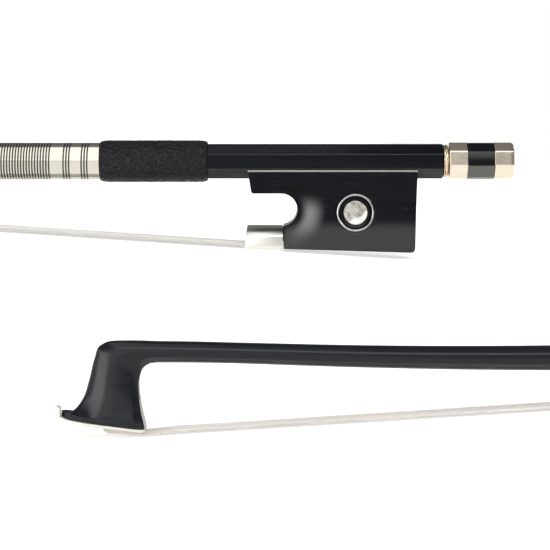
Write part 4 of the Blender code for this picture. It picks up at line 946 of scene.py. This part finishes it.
def make_tip_plate():
    """The white plate under the head, with its raised nose and its edges eased."""
    top = [UNDERSIDE_BACK, UNDERSIDE_FRONT, Vector((PLATE_NOSE_BACK, NOSE_UNDERSIDE.y - SEAT_GAP))]
    top = [(point.x, point.y - SEAT_GAP) for point in top]
    bottom = [(x, z - PLATE_THICKNESS) for x, z in top]
    nose = [
        (PLATE_NOSE_BACK, PLATE_NOSE_TOP - PLATE_NOSE_SLANT),
        (PLATE_NOSE_FRONT, PLATE_NOSE_TOP),
        (PLATE_NOSE_FRONT, bottom[-1][1] + PLATE_NOSE_TOE),
    ]
    reach = 10.0 * MM
    side = slab_mesh(top + nose + [bottom[1], bottom[0]], reach)
    half = [(PLATE_NOSE_FRONT - reach, PLATE_NOSE_HALF_WIDTH)]
    curve = [(PLATE_NOSE_FRONT + behind, width) for behind, width in PLATE_PLAN]
    half += [tuple(row) for row in smooth_through(curve, 4)]
    half.append((UNDERSIDE_BACK.x - PLATE_HEEL_CUT, PLATE_PLAN[-1][1]))
    half.append((UNDERSIDE_BACK.x + SEAT_GAP, PLATE_HEEL_HALF_WIDTH))
    plan = slab_mesh(half + [(x, -y) for x, y in reversed(half)], reach, plane="XY")
    mesh = combined(side, plan, "INTERSECT")
    mesh = combined(mesh, head_mortise(Matrix.Identity(4)))
    mesh = eased(mesh, PLATE_EDGE)
    add_piece(mesh, "tip_plate_finish", "ivory_white", "stick", "tip_plate", HEAD)


# Hair


def hair_stations():
    """The ribbon's middle, width and thickness, from the head's mortise to the ferrule's mouth."""
    stations = []
    for behind, thickness in HAIR_UNDER_PLATE:
        back = HEAD_MORTISE_FRONT + behind
        top = underside_height(back) - PLATE_THICKNESS - 2 * SEAT_GAP
        x, z = head_offset(back, top - thickness / 2)
        stations.append((HEAD_PLACE + x, HAIR_LEVEL + z, thickness))
    rise_end = HEAD_PLACE + UNDERSIDE_BACK.x + SEAT_GAP + HAIR_RISE_LENGTH
    mouth = handle_point(TONGUE_FRONT + 2 * SEAT_GAP, -HAIR_BELOW_AXIS)[0]
    places = np.linspace(rise_end, mouth, HAIR_LEVEL_RINGS)
    thicknesses = np.linspace(HAIR_UNDER_PLATE[-1][1], HAIR_THICKNESS_AT_FERRULE, HAIR_LEVEL_RINGS)
    stations += [(x, HAIR_LEVEL, thickness) for x, thickness in zip(places, thicknesses)]
    ribbon = []
    for x, z, thickness in stations:
        share = (x - stations[0][0]) / (mouth - stations[0][0])
        width = HAIR_WIDTH_AT_HEAD + (HAIR_WIDTH_AT_FERRULE - HAIR_WIDTH_AT_HEAD) * share
        ribbon.append((BOW_PLACE + Vector((x, 0.0, z)), width, thickness))
    return ribbon


def hair_core(ribbon):
    """The closed middle of the ribbon, a little narrower and thinner than the ribbon."""
    rings = []
    for point, width, thickness in ribbon:
        half_width = width / 2 * HAIR_CORE_SHARE
        half = thickness / 2 * HAIR_CORE_SHARE
        corners = [(half_width - half, half), (half_width, half / 2), (half_width, -half / 2), (half_width - half, -half)]
        rings.append([point + Vector((0.0, y, z)) for y, z in mirrored(corners)])
    return rings


def make_hair():
    """Single hairs round a narrower core. Every third hair lies at one of the ribbon's edges."""
    chance = np.random.default_rng(HAIR_SEED)
    ribbon = hair_stations()
    bm = bmesh.new()
    add_loft(bm, hair_core(ribbon))
    for strand in range(HAIR_STRANDS):
        across = chance.uniform(-0.5, 0.5)
        layer = chance.choice((-0.5, 0.5)) if strand % 3 else chance.uniform(-0.5, 0.5)
        if not strand % 3:
            across = math.copysign(0.5, across)
        waver = chance.uniform(-HAIR_WAVER, HAIR_WAVER, (len(ribbon), 2))
        inset = 2 * (HAIR_STRAND_RADIUS + HAIR_WAVER)
        rings = []
        for (point, width, thickness), (side, lift) in zip(ribbon, waver):
            offset = Vector((0.0, (width - inset) * across + side, (thickness - inset) * layer + lift))
            centre = point + offset
            turns = np.arange(HAIR_STRAND_SIDES) * 2 * math.pi / HAIR_STRAND_SIDES
            rings.append([
                centre + Vector((0.0, math.sin(turn), math.cos(turn))) * HAIR_STRAND_RADIUS for turn in turns
            ])
        add_loft(bm, rings)
    hair = finished(mesh_from(bm), "hair_strands", "horsehair", 80.0)
    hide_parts("hair_ribbon")
    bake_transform(hair)


# Winding


def thread_places():
    """Where the thread crosses the near side of the stick, once for each loop."""
    places = []
    for start, loops in THREAD_BANDS:
        places += [start + THREAD_PITCH * loop for loop in range(loops)]
    return places


THREAD_PLACES = thread_places()
FIRST_STEP = POINTS_PER_LOOP // 2
LAST_STEP = FIRST_STEP + (len(THREAD_PLACES) - 1) * POINTS_PER_LOOP


def thread_along(step):
    """The thread's distance from the stick's end after some steps, counted from the near side."""
    places = [THREAD_PLACES[0] - THREAD_PITCH] + THREAD_PLACES
    places += [THREAD_PLACES[-1] + THREAD_PITCH, THREAD_PLACES[-1] + 2 * THREAD_PITCH]
    loop, step = divmod(step, POINTS_PER_LOOP)
    share = step / POINTS_PER_LOOP
    gap = places[loop + 1] - places[loop]
    jump = smoothstep((share - THREAD_STEP_START) / (THREAD_STEP_END - THREAD_STEP_START))
    return places[loop] + THREAD_PITCH * share + (gap - THREAD_PITCH) * jump


def round_stick(along, radius, step):
    """A handle-frame point at a step's angle, where step 0 is on the near side."""
    angle = 2 * math.pi * step / POINTS_PER_LOOP
    return Vector((-along, -radius * math.cos(angle), -radius * math.sin(angle)))


def make_thread():
    rings = []
    for step in range(FIRST_STEP, LAST_STEP + 1):
        along = thread_along(step)
        turns = np.arange(THREAD_SIDES) * 2 * math.pi / THREAD_SIDES
        rings.append([
            round_stick(
                along + THREAD_RADIUS * math.sin(turn), THREAD_CENTRE + THREAD_RADIUS * math.cos(turn), step
            )
            for turn in turns
        ])
    add_piece(loft_mesh(rings), "winding_thread", "black_thread", "stick", "lapping_thread", HANDLE, 80.0)


def wire_section(step, start, end):
    """The flat wire between two places, with its upper edges rounded."""
    rim = LAPPING_RADIUS - LAPPING_EDGE
    line = (
        (start, LAPPING_INNER),
        (start, rim),
        (start + LAPPING_EDGE, LAPPING_RADIUS),
        (end - LAPPING_EDGE, LAPPING_RADIUS),
        (end, rim),
        (end, LAPPING_INNER),
    )
    return [round_stick(along, radius, step) for along, radius in line]


def make_winding():
    """Silver wire that fills the space between the thread's turns, and a plain run at each end."""
    groove = THREAD_BED
    loop = POINTS_PER_LOOP
    bm = bmesh.new()
    add_loft(bm, [
        wire_section(step, thread_along(step) + groove, thread_along(step + loop) - groove)
        for step in range(FIRST_STEP, LAST_STEP - loop + 1)
    ])
    add_loft(bm, [
        wire_section(step, LAPPING_START, thread_along(step) - groove)
        for step in range(FIRST_STEP, FIRST_STEP + loop + 1)
    ])
    add_loft(bm, [
        wire_section(step, thread_along(step) + groove, LAPPING_END)
        for step in range(LAST_STEP - loop, LAST_STEP + 1)
    ])
    add_piece(mesh_from(bm), "winding_wire", "silver_winding", "stick", "lapping_sleeve", HANDLE, 30.0)


# Leather


def make_leather():
    """The thumb leather: a sleeve with a real pebbled surface, drawn in at its ends."""
    length = LEATHER_END - LEATHER_START
    from_end, drawn_in = (np.array(row) * MM for row in zip(*LEATHER_END_PROFILE))
    rings = [[round_angle(LEATHER_START, LEATHER_INNER, a) for a in leather_angles()]]
    for along in np.linspace(0.0, length, LEATHER_ROWS):
        near = min(along, length - along)
        radius = LEATHER_RADIUS - float(np.interp(near, from_end, drawn_in))
        ring = []
        for angle in leather_angles():
            around = Vector((along, LEATHER_RADIUS * math.sin(angle), LEATHER_RADIUS * math.cos(angle)))
            distances, _ = fractal.voronoi(around / LEATHER_CELL)
            folds = fractal.fractal(around / (4 * LEATHER_CELL), 0.8, 2.0, 4)
            height = min(distances[1] - distances[0], 0.5) * 1.4 + folds * 0.35
            depth = LEATHER_PEBBLE * min(max(1.0 - height, 0.0), 1.4)
            ring.append(round_angle(LEATHER_START + along, radius - depth, angle))
        rings.append(ring)
    rings.append([round_angle(LEATHER_END, LEATHER_INNER, a) for a in leather_angles()])
    add_piece(loft_mesh(rings), "leather_grip", "leather", "stick", "thumb_leather", HANDLE, 80.0)


def leather_angles():
    return np.linspace(0.0, 2 * math.pi, LEATHER_POINTS, endpoint=False)


def round_angle(along, radius, angle):
    return Vector((-along, radius * math.sin(angle), radius * math.cos(angle)))


# Frog


def cheek_width(height, smooth=True):
    """Half width of the frog at a height in the handle frame."""
    rows = smooth_through(FROG_CHEEK, 8) if smooth else FROG_CHEEK
    widths, heights = zip(*reversed(rows))
    return np.minimum(np.interp(height, heights, widths), FROG_HALF_WIDTH)


def scoop_depth(x, z):
    """How far the cheek is hollowed out round the throat."""
    across, up = x - SCOOP_PLACE[0], z - SCOOP_PLACE[1]
    distance = np.hypot(across, up)
    turn = np.abs(np.arctan2(up, across) - SCOOP_DIRECTION)
    near = smoothstep((SCOOP_OUTER - distance) / (SCOOP_OUTER - SCOOP_INNER))
    return SCOOP_DEPTH * near * smoothstep((SCOOP_SPREAD + SCOOP_FADE - turn) / SCOOP_FADE)


def make_frog():
    """The CAD's frog with rounded edges, smoothly hollowed cheeks and the scoop at the throat."""
    mesh = node_solid("frog_body")
    mesh.transform(HANDLE.inverted())
    mesh = shaped(mesh, "REMESH", mode="VOXEL", voxel_size=FROG_VOXEL)
    mesh = shaped(mesh, "SMOOTH", factor=0.5, iterations=FROG_SMOOTHING)
    count = len(mesh.vertices)
    places = np.empty(count * 3)
    normals = np.empty(count * 3)
    mesh.vertices.foreach_get("co", places)
    mesh.vertices.foreach_get("normal", normals)
    places = places.reshape(-1, 3)
    x, y, z = places.T
    outer = np.abs(y) > cheek_width(z, smooth=False) - 1.5 * FROG_VOXEL
    facing = smoothstep(np.abs(normals.reshape(-1, 3)[:, 1]) * 1.5) * outer
    bulge = cheek_width(z) - cheek_width(z, smooth=False) - scoop_depth(x, z)
    places[:, 1] = y + np.sign(y) * facing * bulge
    mesh.vertices.foreach_set("co", places.ravel())
    mesh = shaped(mesh, "DECIMATE", ratio=FROG_KEPT_FACES)
    add_piece(mesh, "frog_finish", "ebony", "frog", "frog_body", HANDLE, 60.0)


# Ferrule


def d_section(shrink):
    """The ferrule's D section, drawn in by shrink."""
    half = FERRULE_HALF_WIDTH - shrink
    arch_half = half - FERRULE_SIDE_LEAN
    bottom = FERRULE_BOTTOM + shrink
    corner = FERRULE_CORNER - shrink
    rise = FERRULE_TOP - shrink - FERRULE_SIDE_TOP
    right = []
    for angle in np.radians(np.linspace(90, 0, 30))[1:]:
        right.append((arch_half * math.cos(angle), FERRULE_SIDE_TOP + rise * math.sin(angle)))
    right += arc((half - corner, bottom + corner), corner, 0, -90, 10)
    return mirrored(right)


def ferrule_front(height):
    """The leaning front end, rounded at its toe."""
    lean = (FERRULE_FRONT_BOTTOM - FERRULE_FRONT_TOP) / (FERRULE_TOP - FERRULE_BOTTOM)
    front = FERRULE_FRONT_TOP + lean * (FERRULE_TOP - height)
    low = max(FERRULE_BOTTOM + FERRULE_TOE - height, 0.0)
    return front - FERRULE_TOE + math.sqrt(FERRULE_TOE**2 - low**2)


def make_ferrule():
    rear = FERRULE_REAR + SEAT_GAP / 2
    edge = FERRULE_EDGE

    def ring(shrink, ahead_of_rear=None, behind_front=0.0):
        points = []
        for y, z in d_section(shrink):
            along = ferrule_front(z) - behind_front if ahead_of_rear is None else rear + ahead_of_rear
            points.append(Vector((-along, y, z)))
        return points

    rings = [
        ring(FERRULE_WALL, 0.0),
        ring(edge, 0.0),
        ring(edge / 4, edge / 4),
        ring(0.0, edge),
        ring(0.0, None, edge),
        ring(edge / 4, None, edge / 4),
        ring(edge, None, 0.0),
        ring(FERRULE_WALL, None, 0.0),
    ]
    mesh = loft_mesh(rings, endless=True)
    add_piece(mesh, "ferrule_finish", "nickel_silver", "frog", "ferrule", HANDLE, material=FERRULE_SILVER)


# Eyes and slide


def eye_ring_points(radius, side, lift):
    """A ring of points round an eye, lifted off the hollowed cheek."""
    ring = []
    for angle in np.linspace(0.0, 2 * math.pi, EYE_POINTS, endpoint=False):
        z = EYE_HEIGHT + radius * math.sin(angle)
        y = float(cheek_width(z)) + lift if lift is not None else EYE_FLOOR
        ring.append(Vector((-EYE_ALONG + radius * math.cos(angle), side * y, z)))
    return ring


def make_eyes():
    """On each cheek a pearl disc with a low crown, and a half-round metal ring."""
    for side, name in ((-1, "right"), (1, "left")):
        rings = []
        for share in (0.03, 0.2, 0.4, 0.6, 0.8, 0.92, 0.98, 1.0):
            lift = EYE_PEARL_CROWN * (1 - share**2) - (SEAT_GAP / 2 if share == 1.0 else 0.0)
            rings.append(eye_ring_points(EYE_PEARL_RADIUS * share, side, lift))
        rings.append(eye_ring_points(EYE_PEARL_RADIUS, side, None))
        mesh = loft_mesh(rings)
        add_piece(mesh, f"eye_disc_{name}", "pearl", "frog", f"eye_pearl_{name}", HANDLE, 40.0, EYE_PEARL)
        middle = EYE_RING_RADIUS - EYE_RING_WIDTH / 2
        rings = [eye_ring_points(middle - EYE_RING_WIDTH / 2, side, None)]
        for turn in np.radians(np.linspace(-90, 90, 9)):
            radius = middle + EYE_RING_WIDTH / 2 * math.sin(turn)
            rings.append(eye_ring_points(radius, side, EYE_RING_CROWN * (2 * math.cos(turn) - 1)))
        rings.append(eye_ring_points(middle + EYE_RING_WIDTH / 2, side, None))
        mesh = loft_mesh(rings, endless=True)
        add_piece(mesh, f"eye_band_{name}", "nickel_silver", "frog", f"eye_ring_{name}", HANDLE, 60.0, DULL_NICKEL)


def make_eased_copies():
    """Copies of simple CAD solids with rounded edges: the slide's two parts and the hair's two knots."""
    copies = (
        ("slide_pearl", "slide_face", "pearl", "frog"),
        ("slide_base", "slide_rail", "ebony", "frog"),
        ("hair_knot_frog", "knot_in_frog", "horsehair", "frog"),
        ("hair_knot_head", "knot_in_head", "horsehair", "stick"),
    )
    for node, name, slot, body in copies:
        add_piece(eased(node_solid(node), 0.12 * MM), name, slot, body, node)


# Button


def octagon_mesh(profile):
    """An octagonal solid on the handle's axis, through (place, inset) pairs in millimetres."""
    rings = []
    for along, inset in profile:
        ring = []
        for angle in ring_angles():
            radius = octagon_radius(angle, BUTTON_ACROSS_FLATS, BUTTON_EDGE_EASE) - inset * MM
            turned = angle + BUTTON_TURN
            ring.append(Vector((along * MM, radius * math.sin(turned), radius * math.cos(turned))))
        rings.append(ring)
    return loft_mesh(rings)


def make_button():
    pieces = (
        ("button_front_band", FRONT_RING, "nickel_silver", "button_ring_front", WARM_NICKEL),
        ("button_middle", CORE, "ebony", "button_core", BUTTON_BLACK),
        ("button_rear_band", REAR_RING, "nickel_silver", "button_ring_rear", WARM_NICKEL),
    )
    for name, profile, slot, node, material in pieces:
        add_piece(octagon_mesh(profile), name, slot, "button", node, HANDLE, 25.0, material)
    collar = turned_mesh([(along * MM, radius * MM) for along, radius in COLLAR], 64)
    add_piece(collar, "collar_finish", "brass", "button", "button_collar", HANDLE, 60.0)


# Camera, portal, light


def camera_axes():
    """Right, forward and up of the camera, which is rolled so that the handle lies level."""
    level = Matrix.Rotation(-HANDLE_TILT, 3, "Y")
    right = level @ Vector((1, 0, 0))
    forward = Vector((0, 1, 0)) * math.cos(CAMERA_ELEVATION) - level @ Vector((0, 0, 1)) * math.sin(CAMERA_ELEVATION)
    return right, forward, right.cross(forward)


def photo_place(pixel):
    """The place in the bow's middle plane that shows at a pixel of the photograph."""
    level = Matrix.Rotation(-HANDLE_TILT, 3, "Y")
    across = (pixel[0] - HANDLE_END_PIXEL[0]) / PIXELS_PER_METRE
    down = (pixel[1] - HANDLE_END_PIXEL[1]) / PIXELS_PER_METRE
    return BOW_PLACE + level @ Vector((across, 0.0, -down))


def half_frame():
    return PHOTO_PIXELS / PIXELS_PER_METRE / 2


def make_camera():
    right, forward, up = camera_axes()
    eye = photo_place((PHOTO_PIXELS / 2, PHOTO_PIXELS / 2)) - forward * CAMERA_DISTANCE
    data = bpy.data.cameras.new("camera")
    data.sensor_width = 36.0
    data.lens = data.sensor_width / 2 * CAMERA_DISTANCE / half_frame()
    data.clip_start = PORTAL_DISTANCE / 4
    data.clip_end = 20.0
    camera = new_object("camera", data)
    turn = Matrix((right, up, -forward)).transposed()
    camera.matrix_world = Matrix.Translation(eye) @ turn.to_4x4()
    bpy.context.scene.camera = camera
    return eye


def portal_pane(eye):
    """The pane in front of the lens that covers the frame below a given line of pixels."""
    right, forward, up = camera_axes()
    shrink = PORTAL_DISTANCE / CAMERA_DISTANCE
    half = half_frame() * shrink * PORTAL_MARGIN
    top = (PHOTO_PIXELS / 2 - PORTAL_TOP_PIXEL) / PIXELS_PER_METRE * shrink
    centre = eye + forward * PORTAL_DISTANCE
    corners = [(-half, -half), (half, -half), (half, top), (-half, top)]
    mesh = bpy.data.meshes.new("portal")
    mesh.from_pydata([centre + right * x + up * y for x, y in corners], [], [(0, 1, 2, 3)])
    pane = new_object("portal", mesh)
    return pane


def turned(tree, vector, turn):
    """A vector turned by a fixed rotation: one dot product for each row of its matrix."""
    rows = {
        i: add_node(tree, "ShaderNodeVectorMath", {0: vector, 1: tuple(turn[i])}, operation="DOT_PRODUCT")
        for i in range(3)
    }
    parts = {i: row.outputs["Value"] for i, row in rows.items()}
    return add_node(tree, "ShaderNodeCombineXYZ", parts).outputs[0]


def add_portal(eye):
    """Moves the rays of the lower part of the frame to the head end.

    The head frame's axes lie level in that part of the photograph, as the handle's do above.
    """
    level = Matrix.Rotation(-HANDLE_TILT, 3, "Y")
    back_turn = Matrix.Rotation(HEAD_TILT, 3, "Y") @ level.transposed()
    shown_at = photo_place(HEAD_FRAME_PIXEL)
    material = bpy.data.materials.new("portal")
    material.use_nodes = True
    tree = material.node_tree
    tree.nodes.clear()
    position = add_node(tree, "ShaderNodeNewGeometry").outputs["Position"]
    ray = add_node(tree, "ShaderNodeVectorMath", {0: position, 1: tuple(eye)}, operation="SUBTRACT")
    unit_ray = add_node(tree, "ShaderNodeVectorMath", {0: ray.outputs[0]}, operation="NORMALIZE")
    offset = add_node(tree, "ShaderNodeVectorMath", {0: position, 1: tuple(shown_at)}, operation="SUBTRACT")
    moved = add_node(
        tree,
        "ShaderNodeVectorMath",
        {0: turned(tree, offset.outputs[0], back_turn), 1: tuple(HEAD_ORIGIN)},
        operation="ADD",
    )
    portal = add_node(
        tree,
        "ShaderNodeBsdfRayPortal",
        {"Position": moved.outputs[0], "Direction": turned(tree, unit_ray.outputs[0], back_turn)},
    )
    output = add_node(tree, "ShaderNodeOutputMaterial")
    tree.links.new(portal.outputs[0], output.inputs["Surface"])
    portal_pane(eye).data.materials.append(material)


def make_world():
    """A studio round the bow, alike for all rays.

    Behind the bow there is a white wall under a dark ceiling. In front there is a paler wall with a
    soft box above it. The box reaches down on the left, where a brighter lamp stands.
    """
    world = bpy.data.worlds.new("studio")
    bpy.context.scene.world = world
    world.use_nodes = True
    tree = world.node_tree
    background = tree.nodes["Background"]
    background.inputs["Color"].default_value = (1.0, 1.0, 1.0, 1.0)
    direction = add_node(tree, "ShaderNodeTexCoord").outputs["Generated"]
    parts = add_node(tree, "ShaderNodeSeparateXYZ", {0: direction})
    x, y, z = (parts.outputs[axis] for axis in "XYZ")

    back_wall = remap(tree, z, 0.10, 0.22, 1.0, 0.2, True)
    front_wall = product(
        tree,
        remap(tree, z, 0.1, 0.3, 0.92, 0.45, True),
        remap(tree, x, -0.1, 0.4, 1.0, 0.55, True),
    )
    left_box = product(
        tree,
        remap(tree, x, 0.06, -0.02, 0.0, 1.3, True),
        remap(tree, x, -0.4, -0.25, 0.0, 1.0, True),
        remap(tree, z, 0.06, 0.12, 0.0, 1.0, True),
    )
    right_box = product(
        tree,
        remap(tree, x, -0.12, 0.06, 0.0, 4.5, True),
        remap(tree, z, 0.56, 0.64, 0.0, 1.0, True),
        remap(tree, z, 0.8, 0.72, 0.0, 1.0, True),
    )
    lamp = product(
        tree,
        remap(tree, x, -0.33, -0.5, 0.0, 4.0, True),
        remap(tree, x, -0.98, -0.88, 0.0, 1.0, True),
        remap(tree, z, -0.01, 0.03, 0.0, 1.0, True),
        remap(tree, z, 0.35, 0.5, 1.0, 0.0, True),
    )
    before_bow = total(tree, front_wall, left_box, right_box, lamp)
    front = remap(tree, y, 0.2, 0.08, 0.0, 1.0, True)
    back = remap(tree, front, 0.0, 1.0, 1.0, 0.0)
    light = total(tree, product(tree, front, before_bow), product(tree, back, back_wall))
    tree.links.new(light, background.inputs["Strength"])


def make_floor():
    """A pale floor that shows white to the camera, with the bow's shadow."""
    bm = bmesh.new()
    bmesh.ops.create_grid(bm, x_segments=1, y_segments=1, size=6.0)
    floor = new_object("floor", mesh_from(bm))
    material, tree, shader = new_material("floor")
    shader.inputs["Base Color"].default_value = (0.80, 0.79, 0.77, 1.0)
    shader.inputs["Roughness"].default_value = 0.9
    shader.inputs["Specular IOR Level"].default_value = 0.0
    path = add_node(tree, "ShaderNodeLightPath")
    seen = path.outputs["Is Camera Ray"]
    for kind in ("Is Glossy Ray", "Is Transmission Ray"):
        seen = math_node(tree, "MAXIMUM", seen, path.outputs[kind])
    glow = add_node(tree, "ShaderNodeEmission", {"Strength": remap(tree, seen, 0.0, 1.0, 0.0, 0.6)})
    total = add_node(tree, "ShaderNodeAddShader", {0: shader.outputs[0], 1: glow.outputs[0]})
    tree.links.new(total.outputs[0], tree.nodes["Material Output"].inputs["Surface"])
    floor.data.materials.append(material)


def main():
    dress_cad_nodes()
    make_stick()
    make_tip_plate()
    make_hair()
    make_thread()
    make_winding()
    make_leather()
    make_frog()
    make_ferrule()
    make_eyes()
    make_eased_copies()
    make_button()
    eye = make_camera()
    add_portal(eye)
    make_world()
    make_floor()
    bpy.context.scene.view_settings.view_transform = "Standard"


main()
